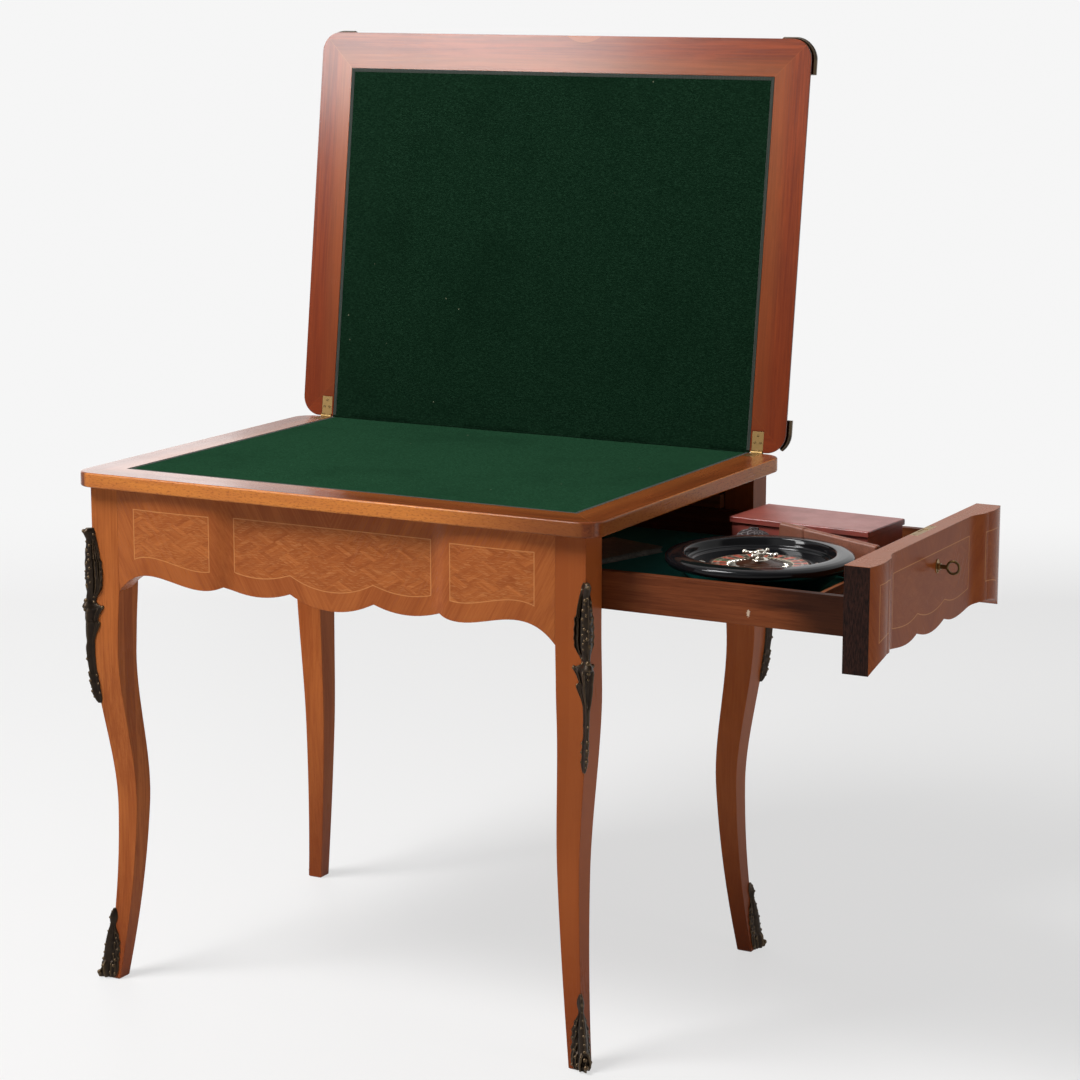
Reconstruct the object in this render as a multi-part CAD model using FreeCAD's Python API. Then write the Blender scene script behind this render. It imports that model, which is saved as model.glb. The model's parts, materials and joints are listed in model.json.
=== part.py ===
import FreeCAD, Part
import math
import os

V = FreeCAD.Vector

# A games table: four curved legs and three scalloped aprons carry a folding,
# turning top, and a drawer in the right side holds a roulette set.
# Millimetres, +Z up, the long front faces -Y, the drawer opens towards +X.
# The origin is on the floor under the middle of the frame.

# Folding top
TOP_WIDTH = 830.0
TOP_DEPTH = 600.0
TOP_HEIGHT = 750.0
TOP_THICKNESS = 21.0
TOP_CORNER_RADIUS = 30.0
TOP_EDGE_ROUND = 2.5
LEAF_THICKNESS = 21.0
LEAF_LIP = 2.0
LEAF_MOULDING_RUN = 12.0
LEAF_MOULDING_STEPS = 6
LEAF_OPENING = 97.4
FOLD_GAP = 0.6
BORDER = 55.0
BAIZE_RECESS = 2.0
BAIZE_THICKNESS = 1.7
BAIZE_SIDE_GAP = 0.4

# Hinges of the folding top
HINGE_WIDTH = 18.0
HINGE_LENGTH = 31.0
HINGE_PLATE = 2.0
HINGE_FROM_SIDE = 43.5
HINGE_FIT = 0.15
KNUCKLE_RADIUS = 3.0
KNUCKLE_CLEARANCE = 0.4
KNUCKLE_END_GAP = 0.2
HINGE_PIN_RADIUS = 1.3
PIN_RUNNING_FIT = 0.05

# Corner clasps of the leaf
CLASP_SIDE_LEG = 20.0
CLASP_STAND_OFF = 5.0
CLASP_FACE_WIDTH = 14.0
CLASP_RISE = 2.6
CLASP_SKIRT = 11.0
CLASP_HINGE_ARC = 50.0
CLASP_GAP = 0.3

# Turning pivot under the top
TOP_GAP = 0.3
PIVOT_RADIUS = 8.0
PIVOT_RUNNING_FIT = 0.06
PIVOT_FLANGE_RADIUS = 28.0
PIVOT_FLANGE = 3.0
PIVOT_BOARD_WIDTH = 100.0
PIVOT_BOARD_THICKNESS = 12.0
PIVOT_TURN = 90.0
WASHER_RADIUS = 18.0
WASHER_THICKNESS = 2.0
WASHER_GAP = 0.2
NUT_FLATS = 24.0
NUT_THICKNESS = 6.0
NUT_SIDES = 6
PIVOT_TAIL = 1.0
PEG_RADIUS = 4.0
PEG_ORBIT = 36.0
PEG_SEAT = 12.0
PEG_REACH = 9.0
PEG_CLEARANCE = 0.4
PIN_SEAT_FIT = 0.05

# Frame
OVERHANG_X = 21.0
OVERHANG_Y = 15.0
LEG_SECTION = 45.0
FOOT_SECTION = 23.0
LEG_TAPER_POWER = 1.25
ANKLE_SHARE = 0.3568
ANKLE_INSET = 18.5
TOE_INSET = 1.5
KNEE_DROP = 224.0
KNEE_SWELL = 3.0
SHOULDER_DROP = 129.0
LEG_CURVE_POINTS = 21
FOOT_CHAMFER = 1.5
APRON_THICKNESS = 30.0
APRON_SWELL = 5.0
APRON_STEP_BACK = 8.0
APRON_STEP_RUN = 46.0
APRON_STEP_TOP = 3.0
FRONT_PANEL_HALF = 150.0
FRONT_CUSP_DEPTH = 124.7
FRONT_LOBE_HALF = 67.0
FRONT_LOBE_DROPS = (17.0, 9.5, 7.0)
FRONT_ARCH_RISE = 5.0
FRONT_END_DROP = 23.0
SIDE_PANEL_HALF = 138.0
SIDE_CUSP_DEPTH = 134.7
SIDE_LOBE_HALF = 50.0
SIDE_LOBE_DROPS = (9.0, 7.0)
SIDE_ARCH_RISE = 0.8
SIDE_END_DROP = 16.5
END_LOBE_SHARE = 0.2
END_ARCH_SHARE = 0.63
TENON_THICKNESS = 11.0
TENON_LENGTH = 18.0
TENON_SHOULDER = 18.0
TENON_HEIGHT = 85.0
WOOD_FIT = 0.15
BOARD_SEAT = 10.0
CROSS_RAIL_WIDTH = 70.0
CROSS_RAIL_X = -190.0

# Bronze mounts on the outer corner of each leg
MOUNT_GAP = 0.3
KNEE_MOUNT_TOP_DROP = 60.0
# distance below the mount's top, width on each face, thickness, ridge
KNEE_MOUNT_STATIONS = (
    (0.0, 3.5, 2.0, 3.5),
    (16.0, 8.0, 4.5, 7.0),
    (52.0, 12.5, 6.0, 10.0),
    (84.0, 12.0, 6.0, 10.0),
    (102.0, 7.0, 3.5, 6.5),
    (113.0, 13.0, 6.0, 10.5),
    (148.0, 9.5, 4.5, 8.0),
    (200.0, 5.0, 3.0, 5.0),
    (232.0, 6.5, 3.5, 6.0),
    (256.0, 2.5, 1.2, 2.5),
)
# height above the floor, width on each face, thickness, ridge
FOOT_MOUNT_STATIONS = (
    (2.0, 16.0, 3.0, 6.0),
    (13.0, 19.0, 4.5, 9.0),
    (30.0, 16.0, 4.0, 8.0),
    (48.0, 17.0, 4.0, 7.0),
    (66.0, 9.0, 3.0, 6.0),
    (84.0, 8.0, 3.0, 5.0),
    (104.0, 2.0, 1.0, 2.0),
)
MOUNT_EDGE_SHARE = 0.5
MOUNT_CREST_SHARE = 0.35
MOUNT_STEP = 12.0

# Drawer
DRAWER_OUT = 374.0
DRAWER_FRONT_THICKNESS = 35.0
DRAWER_END_GAP = 1.0
DRAWER_TOP_GAP = 1.5
DRAWER_LIP = 2.5
DRAWER_SIDE = 11.0
DRAWER_SIDE_HEIGHT = 51.0
DRAWER_SIDE_TOP_DROP = 41.2
DRAWER_LENGTH = 560.0
DRAWER_BACK = 10.0
DRAWER_BACK_DROP = 4.0
DRAWER_HOUSING = 12.0
DRAWER_BOTTOM = 5.0
DRAWER_BOTTOM_RISE = 8.0
DRAWER_GROOVE = 5.0
LINING_THICKNESS = 0.9
LINING_GAP = 0.5
DIVIDER_THICKNESS = 6.0
DIVIDER_FROM_FRONT = 44.0
DIVIDER_HEIGHT = 30.0
DIVIDER_GAP = 0.2
UPPER_RAIL_THICKNESS = 10.0
UPPER_RAIL_WIDTH = 26.0
UPPER_RAIL_LAP = 14.0
LOWER_RAIL_WIDTH = 42.0
LOWER_RAIL_TENON = 8.0
RUNNER_THICKNESS = 16.0
RUNNER_LEDGE = 12.0
RUNNER_CLEARANCE = 0.3
GUIDE_CLEARANCE = 0.7
GUIDE_HEIGHT = 30.0
KICKER_CLEARANCE = 1.0
KICKER_HEIGHT = 20.0
KICKER_COVER = 8.5
LEG_CLEARANCE = 2.0

# Lock and key
LOCK_Y = 18.0
LOCK_HEIGHT = 66.0
LOCK_HALF_WIDTH = 30.0
LOCK_DEPTH = 12.0
LOCK_WALL = 2.0
LOCK_SELVEDGE = 2.5
LOCK_SELVEDGE_HALF = 36.0
LOCK_FIT = 0.15
BOLT_HALF_WIDTH = 12.0
BOLT_THICKNESS = 6.0
BOLT_CLEARANCE = 0.3
BOLT_SINK = 0.5
BOLT_ABOVE_BIT = 1.5
BOLT_WAY_OVERLAP = 2.0
STRIKE_CLEARANCE = 1.0
KEY_DROP = 46.0
KEY_SHANK_RADIUS = 2.9
KEY_RUNNING_FIT = 0.06
KEYHOLE_CLEARANCE = 0.6
KEY_BIT_REACH = 8.0
KEY_BIT_HALF = 1.6
KEY_BIT_LENGTH = 5.0
KEY_BIT_GAP = 1.5
KEY_VISIBLE = 15.0
KEY_COLLAR_RADIUS = 4.6
KEY_COLLAR = 3.0
KEY_COLLAR_STAND = 1.0
KEY_BOW_RADIUS = 8.3
KEY_BOW_TUBE = 1.7
ESCUTCHEON_THICKNESS = 1.2
ESCUTCHEON_WIDTH = 12.0
ESCUTCHEON_HEIGHT = 19.0

# Roulette set, sized by the drawer's width and placed from its divider and its near side
BOWL_DIVIDER_GAP = 1.0
BOWL_SIDE_GAP = 1.5
# share of the drawer's half width
BOWL_SHARE = 0.5588
# shares of the bowl's radius
BOWL_FOOT_SHARE = 0.556
BOWL_RIM_SHARE = 0.206
BOWL_WELL_SHARE = 0.524
RING_INNER_SHARE = 0.349
POCKET_INNER_SHARE = 0.254
BOWL_HEIGHT = 51.0
BOWL_FOOT_RING = 8.0
BOWL_THICKNESS = 6.0
BOWL_FOOT_BEVEL = 8.0
BOWL_FOOT_RISE = 4.0
BOWL_RIM_OVERHANG = 11.0
BOWL_RIM_UNDERCUT = 15.0
BOWL_RIM_ROUND = 8.0
BOWL_LIP = 3.0
BOWL_LEDGE = 6.0
BOWL_FLOOR = 29.5
BOWL_WELL_DEPTH = 7.5
SPINDLE_RADIUS = 3.0
SPINDLE_HEIGHT = 8.0
SPINDLE_RUNNING_FIT = 0.05
ROTOR_GAP = 0.4
ROTOR_EDGE = 7.0
ROTOR_CONE_RADIUS = 12.0
ROTOR_CONE_RISE = 5.0
NUMBER_RING_THICKNESS = 1.2
POCKET_DEPTH = 4.0
ROTOR_LIP = 2.0
RING_FIT = 0.1
TURRET_HEIGHT = 14.5
TURRET_WAIST = 4.0
TURRET_SWELL = 2.0
# share of the turret's height: top of the base, waist, arms, neck, knob
TURRET_LEVELS = (0.14, 0.34, 0.62, 0.74, 0.88)
TURRET_ARM = 23.0
TURRET_ARM_RADIUS = 1.4
TURRET_BALL = 2.8
TURRET_ARMS = 4
DEFLECTOR_ANGLES = (-150.0, 13.0)
DEFLECTOR_LENGTH = 15.0
DEFLECTOR_WIDTH = 7.0
DEFLECTOR_THICKNESS = 2.5
DEFLECTOR_GAP = 0.2

# Other things kept in the drawer
GAME_BOX_LENGTH = 208.0
# share of the drawer's half width
GAME_BOX_SHARE = 0.4789
GAME_BOX_HEIGHT = 60.0
GAME_BOX_WALL = 3.0
GAME_BOX_FROM_FRONT = 185.0
GAME_BOX_CASE_GAP = 1.0
LID_OVERHANG = 2.6
LID_THICKNESS = 3.0
LID_SKIRT = 5.0
LID_FIT = 0.2
LID_EDGE_ROUND = 2.0
GAME_BOX_TURN = -4.0
CASE_LENGTH = 164.0
CASE_WIDTH = 11.0
CASE_HEIGHT = 54.0
CASE_CAP = 42.0
CASE_CAP_STEP = 0.6
CASE_ROUND = 3.0
CASE_END_GAP = 1.0
CASE_BOWL_GAP = 1.85
CASE_TURN = -14.5
CASE_TILT = 3.6
PAD_LENGTH = 130.0
PAD_WIDTH = 100.0
PAD_THICKNESS = 8.0
PAD_FROM_FRONT = 468.0
PAD_Y = 26.0
PAD_TURN = -17.5
POUCH_RADIUS = 21.0
POUCH_HEIGHT = 50.0
POUCH_NECK = 8.0
# share of the largest radius, share of the height
POUCH_PROFILE = ((0.7, 0.0), (0.96, 0.14), (1.0, 0.34), (0.8, 0.58))
POUCH_NECK_LEVEL = 0.76
POUCH_FRILL = 1.7
POUCH_GAP = 1.5
COUNTER_RADIUS = 10.0
COUNTER_THICKNESS = 3.2
COUNTER_GAP = 0.1
COUNTER_STACKS = (5, 4, 6, 3)
COUNTER_PITCH = 22.0
COUNTER_SIDE_GAP = 7.5
CONTENT_GAP = 0.1

# Heights and planes that several pieces share
slab_bottom = TOP_HEIGHT - TOP_THICKNESS
frame_top = slab_bottom - TOP_GAP
post_x = TOP_WIDTH / 2 - OVERHANG_X
post_y = TOP_DEPTH / 2 - OVERHANG_Y
inside_x = post_x - LEG_SECTION
inside_y = post_y - LEG_SECTION
apron_inner_y = post_y - APRON_THICKNESS
apron_inner_x = post_x - APRON_THICKNESS
ankle_z = ANKLE_SHARE * frame_top
knee_z = frame_top - KNEE_DROP
shoulder_z = frame_top - SHOULDER_DROP
hinge_y = TOP_DEPTH / 2 + FOLD_GAP / 2
hinge_z = TOP_HEIGHT + FOLD_GAP / 2
leaf_inner = TOP_HEIGHT + FOLD_GAP
leaf_outer = leaf_inner + LEAF_THICKNESS
baize_half = TOP_WIDTH / 2 - BORDER
hinge_x = TOP_WIDTH / 2 - HINGE_FROM_SIDE
pivot = V(hinge_y / 2, hinge_y / 2, 0)
board_bottom = frame_top - PIVOT_BOARD_THICKNESS

front_inner = post_x - DRAWER_FRONT_THICKNESS
front_top = frame_top - UPPER_RAIL_THICKNESS - DRAWER_TOP_GAP
front_half = inside_y - DRAWER_END_GAP
panel_face = post_x - APRON_STEP_BACK
side_outer = front_half - DRAWER_LIP
side_inner = side_outer - DRAWER_SIDE
side_top = front_top - DRAWER_SIDE_TOP_DROP
side_bottom = side_top - DRAWER_SIDE_HEIGHT
drawer_back_x = front_inner - DRAWER_LENGTH
panel_bottom = side_bottom + DRAWER_BOTTOM_RISE
panel_top = panel_bottom + DRAWER_BOTTOM
floor_z = panel_top + LINING_THICKNESS + CONTENT_GAP
runner_top = side_bottom - RUNNER_CLEARANCE
lower_rail_x = inside_x - LEG_CLEARANCE - LOWER_RAIL_WIDTH
key_z = front_top - KEY_DROP
lock_back = front_inner + LOCK_DEPTH
divider_back = front_inner - DIVIDER_FROM_FRONT - DIVIDER_THICKNESS
bowl_radius = BOWL_SHARE * side_inner
bowl_rim = bowl_radius * (1 - BOWL_RIM_SHARE)
bowl_foot = bowl_radius * BOWL_FOOT_SHARE
well_radius = bowl_radius * BOWL_WELL_SHARE
ring_inner = bowl_radius * RING_INNER_SHARE
pocket_inner = bowl_radius * POCKET_INNER_SHARE
bowl_x = divider_back - BOWL_DIVIDER_GAP - bowl_radius
bowl_middle = V(bowl_x, -side_inner + BOWL_SIDE_GAP + bowl_radius, floor_z)

CORNERS = {
    "back_right": (1, 1, 0.0),
    "back_left": (-1, 1, 90.0),
    "front_left": (-1, -1, 180.0),
    "front_right": (1, -1, 270.0),
}
SIDES = {"left": -1, "right": 1}
Z_AXIS = V(0, 0, 1)
X_AXIS = V(1, 0, 0)
Y_AXIS = V(0, 1, 0)
ORIGIN = V(0, 0, 0)


def block(x0, x1, y0, y1, z0, z1):
    """Box between two opposite corners, given axis by axis."""
    return Part.makeBox(x1 - x0, y1 - y0, z1 - z0, V(x0, y0, z0))


def rod(radius, start, axis, length):
    return Part.makeCylinder(radius, length, start, axis)


def line(a, b):
    return Part.makeLine(a, b)


def smooth_curve(points):
    curve = Part.BSplineCurve()
    curve.interpolate(points)
    return curve.toShape()


def ease(share):
    """Smooth step from 0 to 1 with level ends."""
    return share * share * (3 - 2 * share)


def turned(points):
    """Solid of revolution about Z from (radius, height) points."""
    wire = Part.makePolygon([V(r, 0, z) for r, z in points + points[:1]])
    return Part.Face(wire).revolve(ORIGIN, Z_AXIS, 360)


def rounded_outline(width, depth, radius, z):
    """Rectangle with round corners, centred on the Z axis."""
    hx = width / 2
    hy = depth / 2
    cx = hx - radius
    cy = hy - radius
    d = radius * math.sqrt(0.5)
    edges = [
        line(V(-cx, -hy, z), V(cx, -hy, z)),
        Part.Arc(V(cx, -hy, z), V(cx + d, -cy - d, z), V(hx, -cy, z)).toShape(),
        line(V(hx, -cy, z), V(hx, cy, z)),
        Part.Arc(V(hx, cy, z), V(cx + d, cy + d, z), V(cx, hy, z)).toShape(),
        line(V(cx, hy, z), V(-cx, hy, z)),
        Part.Arc(V(-cx, hy, z), V(-cx - d, cy + d, z), V(-hx, cy, z)).toShape(),
        line(V(-hx, cy, z), V(-hx, -cy, z)),
        Part.Arc(V(-hx, -cy, z), V(-cx - d, -cy - d, z), V(-cx, -hy, z)).toShape(),
    ]
    return Part.Wire(edges)


def at_corner(shape, corner):
    """Place a piece made for the corner that points to +X +Y at one of the four legs."""
    sx, sy, turn = CORNERS[corner]
    return shape.rotated(ORIGIN, Z_AXIS, turn).translated(V(sx * post_x, sy * post_y, 0))


def leg_offset(z):
    """Outward offset of the leg's outer corner from the frame's corner at height z."""
    if z < ankle_z:
        return -ANKLE_INSET + (ANKLE_INSET - TOE_INSET) * (1 - z / ankle_z) ** 2
    if z < knee_z:
        return -ANKLE_INSET + (ANKLE_INSET + KNEE_SWELL) * ease((z - ankle_z) / (knee_z - ankle_z))
    if z < shoulder_z:
        return KNEE_SWELL * (1 - ease((z - knee_z) / (shoulder_z - knee_z)))
    return 0.0


def leg_width(z):
    share = min(1.0, z / knee_z) ** LEG_TAPER_POWER
    return FOOT_SECTION + (LEG_SECTION - FOOT_SECTION) * share


def leg_profile(along):
    """Closed outline of the leg in the plane of Z and one of the two face directions."""
    heights = [shoulder_z * i / (LEG_CURVE_POINTS - 1) for i in range(LEG_CURVE_POINTS)]
    outer = [along * leg_offset(z) + Z_AXIS * z for z in heights]
    inner = [along * (leg_offset(z) - leg_width(z)) + Z_AXIS * z for z in heights]
    outer_top = Z_AXIS * frame_top
    inner_top = along * -LEG_SECTION + Z_AXIS * frame_top
    edges = [
        smooth_curve(outer),
        line(outer[-1], outer_top),
        line(outer_top, inner_top),
        line(inner_top, inner[-1]),
        smooth_curve(inner[::-1]),
        line(inner[0], outer[0]),
    ]
    return Part.Face(Part.Wire(edges))


def leg_blank():
    """Square cabriole leg: the same curved outline cut through from two sides."""
    depth = LEG_SECTION + ANKLE_INSET + KNEE_SWELL
    seen_from_front = leg_profile(X_AXIS).translated(Y_AXIS * KNEE_SWELL).extrude(Y_AXIS * -depth)
    seen_from_side = leg_profile(Y_AXIS).translated(X_AXIS * KNEE_SWELL).extrude(X_AXIS * -depth)
    leg = seen_from_front.common(seen_from_side)
    return leg.makeChamfer(FOOT_CHAMFER, [e for e in leg.Edges if e.BoundBox.ZMax < FOOT_CHAMFER])


def tenons(half, thickness, grow):
    """The two end tenons of a board that stands along X with its inner face on y = 0."""
    top = frame_top - TENON_SHOULDER + grow
    bottom = frame_top - TENON_SHOULDER - TENON_HEIGHT - grow
    y0 = -thickness / 2 - TENON_THICKNESS / 2 - grow
    y1 = -thickness / 2 + TENON_THICKNESS / 2 + grow
    tip = half + TENON_LENGTH + grow
    return [block(half, tip, y0, y1, bottom, top), block(-tip, -half, y0, y1, bottom, top)]


def on_front(shape):
    return shape.translated(V(0, -apron_inner_y, 0))


def on_back(shape):
    return on_front(shape).rotated(ORIGIN, Z_AXIS, 180)


def on_left(shape):
    return shape.translated(V(0, -apron_inner_x, 0)).rotated(ORIGIN, Z_AXIS, -90)


def on_drawer_side(shape):
    return shape.translated(V(0, -front_inner, 0)).rotated(ORIGIN, Z_AXIS, 90)


def serpentine_plan(half, thickness, panel_half, z0, z1):
    """Board along X with a flat inner face on y = 0; its outer face swells at both ends and steps back to a
    flat middle, by an arc and an S-curve on each side."""
    step_out = panel_half + APRON_STEP_RUN
    step_middle = panel_half + APRON_STEP_RUN / 2
    crest = -thickness - APRON_STEP_TOP
    panel = -thickness + APRON_STEP_BACK
    swell = -thickness - APRON_SWELL

    def outer(side):
        arc_middle = V(side * (half + step_out) / 2, swell, z0)
        arc = Part.Arc(V(side * half, -thickness, z0), arc_middle, V(side * step_out, crest, z0))
        step = Part.BezierCurve()
        step.setPoles([
            V(side * step_out, crest, z0),
            V(side * step_middle, crest, z0),
            V(side * step_middle, panel, z0),
            V(side * panel_half, panel, z0),
        ])
        return [arc.toShape(), step.toShape()]

    edges = outer(1) + outer(-1)
    edges.append(line(V(-panel_half, panel, z0), V(panel_half, panel, z0)))
    edges.append(line(V(-half, -thickness, z0), V(-half, 0, z0)))
    edges.append(line(V(-half, 0, z0), V(half, 0, z0)))
    edges.append(line(V(half, 0, z0), V(half, -thickness, z0)))
    outline = Part.Wire(Part.__sortEdges__(edges))
    return Part.Face(outline).extrude(V(0, 0, z1 - z0))


def scallops(half, cusps, drops, cusp_z, arch_rise, end_drop):
    """Lower edge of an apron from its left end to its right end: hanging lobes between cusps, then on each
    side one S-curve through an end lobe and an arch down to the leg."""
    end_zone = half - cusps[-1]
    end_points = [
        (cusps[-1], cusp_z),
        (cusps[-1] + END_LOBE_SHARE * end_zone, cusp_z - drops[-1]),
        (cusps[-1] + END_ARCH_SHARE * end_zone, cusp_z + arch_rise),
        (half, cusp_z - end_drop),
    ]
    edges = [smooth_curve([V(-u, 0, z) for u, z in reversed(end_points)])]
    stops = [-c for c in reversed(cusps)] + list(cusps)
    order = list(range(len(cusps) - 1, 0, -1)) + list(range(len(cusps)))
    for start, end, lobe in zip(stops, stops[1:], order):
        middle = V((start + end) / 2, 0, cusp_z - drops[lobe])
        edges.append(Part.Arc(V(start, 0, cusp_z), middle, V(end, 0, cusp_z)).toShape())
    edges.append(smooth_curve([V(u, 0, z) for u, z in end_points]))
    return edges


def scalloped_board(half, thickness, panel_half, lower_edge, lowest, top):
    """Serpentine board cut to a scalloped lower edge."""
    plan = serpentine_plan(half, thickness, panel_half, lowest, top)
    left = lower_edge[0].Vertexes[0].Point
    right = lower_edge[-1].Vertexes[-1].Point
    edges = lower_edge + [
        line(right, V(half, 0, top)),
        line(V(half, 0, top), V(-half, 0, top)),
        line(V(-half, 0, top), left),
    ]
    front_view = Part.Face(Part.Wire(edges)).translated(V(0, thickness, 0))
    return plan.common(front_view.extrude(V(0, -3 * thickness, 0)))


def front_scallops():
    outer_cusp = FRONT_PANEL_HALF + APRON_STEP_RUN / 2
    cusp_z = frame_top - FRONT_CUSP_DEPTH
    return scallops(
        inside_x, (FRONT_LOBE_HALF, outer_cusp), FRONT_LOBE_DROPS, cusp_z, FRONT_ARCH_RISE, FRONT_END_DROP
    )


def side_scallops(half):
    cusp_z = frame_top - SIDE_CUSP_DEPTH
    return scallops(half, (SIDE_LOBE_HALF,), SIDE_LOBE_DROPS, cusp_z, SIDE_ARCH_RISE, SIDE_END_DROP)


def long_apron():
    """Front or back apron in its own place along X, with tenons."""
    lowest = frame_top - FRONT_CUSP_DEPTH - FRONT_END_DROP - FRONT_LOBE_DROPS[0]
    board = scalloped_board(inside_x, APRON_THICKNESS, FRONT_PANEL_HALF, front_scallops(), lowest, frame_top)
    return board.fuse(tenons(inside_x, APRON_THICKNESS, 0))


def short_apron():
    """Left apron along X before it is turned to its side, with tenons."""
    lowest = frame_top - SIDE_CUSP_DEPTH - SIDE_END_DROP - SIDE_LOBE_DROPS[0]
    edge = side_scallops(inside_y)
    board = scalloped_board(inside_y, APRON_THICKNESS, SIDE_PANEL_HALF, edge, lowest, frame_top)
    return board.fuse(tenons(inside_y, APRON_THICKNESS, 0))


def cross_board(middle, width, grow):
    """Flat board from front apron to back apron, let into their upper inner edges."""
    half = width / 2 + grow
    end = apron_inner_y + BOARD_SEAT + grow
    return block(middle - half, middle + half, -end, end, board_bottom - grow, frame_top)


def lower_rail(grow):
    """Rail under the drawer's mouth, tenoned into the two long aprons."""
    end = apron_inner_y + LOWER_RAIL_TENON + grow
    bottom = runner_top - RUNNER_THICKNESS - grow
    x1 = lower_rail_x + LOWER_RAIL_WIDTH + grow
    return block(lower_rail_x - grow, x1, -end, end, bottom, runner_top + grow)


def upper_rail(grow):
    """Thin rail over the drawer's mouth, lapped into the tops of the two right legs."""
    x0 = front_inner + DRAWER_END_GAP - grow
    end = inside_y + UPPER_RAIL_LAP + grow
    bottom = frame_top - UPPER_RAIL_THICKNESS - grow
    return block(x0, x0 + UPPER_RAIL_WIDTH + 2 * grow, -end, end, bottom, frame_top)


def bolt_place(clearance, bottom, top):
    """Upright block round the lock bolt with the drawer shut."""
    middle = front_inner + LOCK_DEPTH / 2
    half = BOLT_THICKNESS / 2 + clearance
    width = BOLT_HALF_WIDTH + clearance
    return block(middle - half, middle + half, LOCK_Y - width, LOCK_Y + width, bottom, top)


def build_frame():
    nodes = {}
    mortises = [on_front(t) for t in tenons(inside_x, APRON_THICKNESS, WOOD_FIT)]
    mortises += [on_back(t) for t in tenons(inside_x, APRON_THICKNESS, WOOD_FIT)]
    mortises += [on_left(t) for t in tenons(inside_y, APRON_THICKNESS, WOOD_FIT)]
    mortises.append(upper_rail(WOOD_FIT))
    for corner in CORNERS:
        nodes["leg_" + corner] = at_corner(leg_blank(), corner).cut(mortises)
        nodes["knee_mount_" + corner] = at_corner(knee_mount(), corner)
        nodes["foot_mount_" + corner] = at_corner(foot_mount(), corner)

    seats = [
        cross_board(pivot.x, PIVOT_BOARD_WIDTH, WOOD_FIT),
        cross_board(CROSS_RAIL_X, CROSS_RAIL_WIDTH, WOOD_FIT),
        lower_rail(WOOD_FIT),
    ]
    nodes["front_apron"] = on_front(long_apron()).cut(seats)
    nodes["back_apron"] = on_back(long_apron()).cut(seats)
    nodes["left_apron"] = on_left(short_apron())
    nodes["pivot_board"] = pivot_board()
    nodes["cross_rail"] = cross_board(CROSS_RAIL_X, CROSS_RAIL_WIDTH, 0)
    nodes["lower_drawer_rail"] = lower_rail(0)
    strike = bolt_place(STRIKE_CLEARANCE, front_top, frame_top)
    nodes["upper_drawer_rail"] = upper_rail(0).cut(strike)
    nodes["drawer_runners"] = Part.makeCompound([drawer_runner(1), drawer_runner(-1)])
    nodes["drawer_kickers"] = Part.makeCompound([drawer_kicker(1), drawer_kicker(-1)])
    return nodes


def pivot_board():
    """Board under the top with the pivot's bore and a quarter-turn slot for the stop peg."""
    board = cross_board(pivot.x, PIVOT_BOARD_WIDTH, 0)
    depth = PIVOT_BOARD_THICKNESS
    start = V(pivot.x, pivot.y, board_bottom)
    bore = rod(PIVOT_RADIUS + PIVOT_RUNNING_FIT, start, Z_AXIS, depth)
    half = PEG_RADIUS + PEG_CLEARANCE
    sector = Part.makeCylinder(PEG_ORBIT + half, depth, ORIGIN, Z_AXIS, PIVOT_TURN)
    arc = sector.cut(rod(PEG_ORBIT - half, ORIGIN, Z_AXIS, depth)).rotated(ORIGIN, Z_AXIS, -PIVOT_TURN / 2)
    ends = [rod(half, peg_direction(share) * PEG_ORBIT, Z_AXIS, depth) for share in (-0.5, 0.5)]
    slot = arc.fuse(ends).translated(start)
    return board.cut([bore, slot])


def peg_direction(share):
    """Direction from the pivot to the stop peg, as a share of its quarter turn from the middle."""
    angle = math.radians(PIVOT_TURN * share)
    return V(math.cos(angle), math.sin(angle), 0)


def drawer_runner(side):
    """L-shaped runner on the inside of a long apron: a ledge under the drawer's side, a guide beside it."""
    x0 = -inside_x + LEG_CLEARANCE
    ledge_y = side_inner - RUNNER_LEDGE
    guide_y = side_outer + GUIDE_CLEARANCE
    ledge = block(x0, lower_rail_x, ledge_y, apron_inner_y, runner_top - RUNNER_THICKNESS, runner_top)
    guide = block(x0, lower_rail_x, guide_y, apron_inner_y, runner_top, runner_top + GUIDE_HEIGHT)
    runner = ledge.fuse(guide).removeSplitter()
    return runner if side > 0 else runner.mirror(ORIGIN, Y_AXIS)


def drawer_kicker(side):
    """Strip over the drawer's side that keeps the open drawer level."""
    x1 = inside_x - LEG_CLEARANCE
    z0 = side_top + KICKER_CLEARANCE
    kicker = block(-x1, x1, side_outer - KICKER_COVER, apron_inner_y, z0, z0 + KICKER_HEIGHT)
    return kicker if side > 0 else kicker.mirror(ORIGIN, Y_AXIS)


def mount_section(z, width, thickness, ridge):
    """Outline of a corner mount at height z: two flanges on the leg's faces and a ridge on its corner."""
    g = MOUNT_GAP
    edge = g + thickness * MOUNT_EDGE_SHARE
    crest = width * MOUNT_CREST_SHARE
    corner = leg_offset(z)
    points = [
        (g, -width),
        (edge, -width),
        (g + thickness, -crest),
        (g + ridge, g + ridge),
        (-crest, g + thickness),
        (-width, edge),
        (-width, g),
        (g, g),
    ]
    return Part.makePolygon([V(corner + a, corner + b, z) for a, b in points + points[:1]])


def closer_stations(stations):
    """The stations with evenly spaced ones put between them, so that the loft follows the leg's curve."""
    rows = []
    for start, end in zip(stations, stations[1:]):
        count = math.ceil((end[0] - start[0]) / MOUNT_STEP)
        for i in range(count):
            rows.append([a + (b - a) * i / count for a, b in zip(start, end)])
    return rows + [stations[-1]]


def knee_mount():
    """Leaf on the knee, waist with two ears, long tail: one loft along the leg's corner."""
    top = frame_top - KNEE_MOUNT_TOP_DROP
    rows = closer_stations(KNEE_MOUNT_STATIONS)
    return Part.makeLoft([mount_section(top - drop, w, t, r) for drop, w, t, r in rows], True, True)


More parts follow.
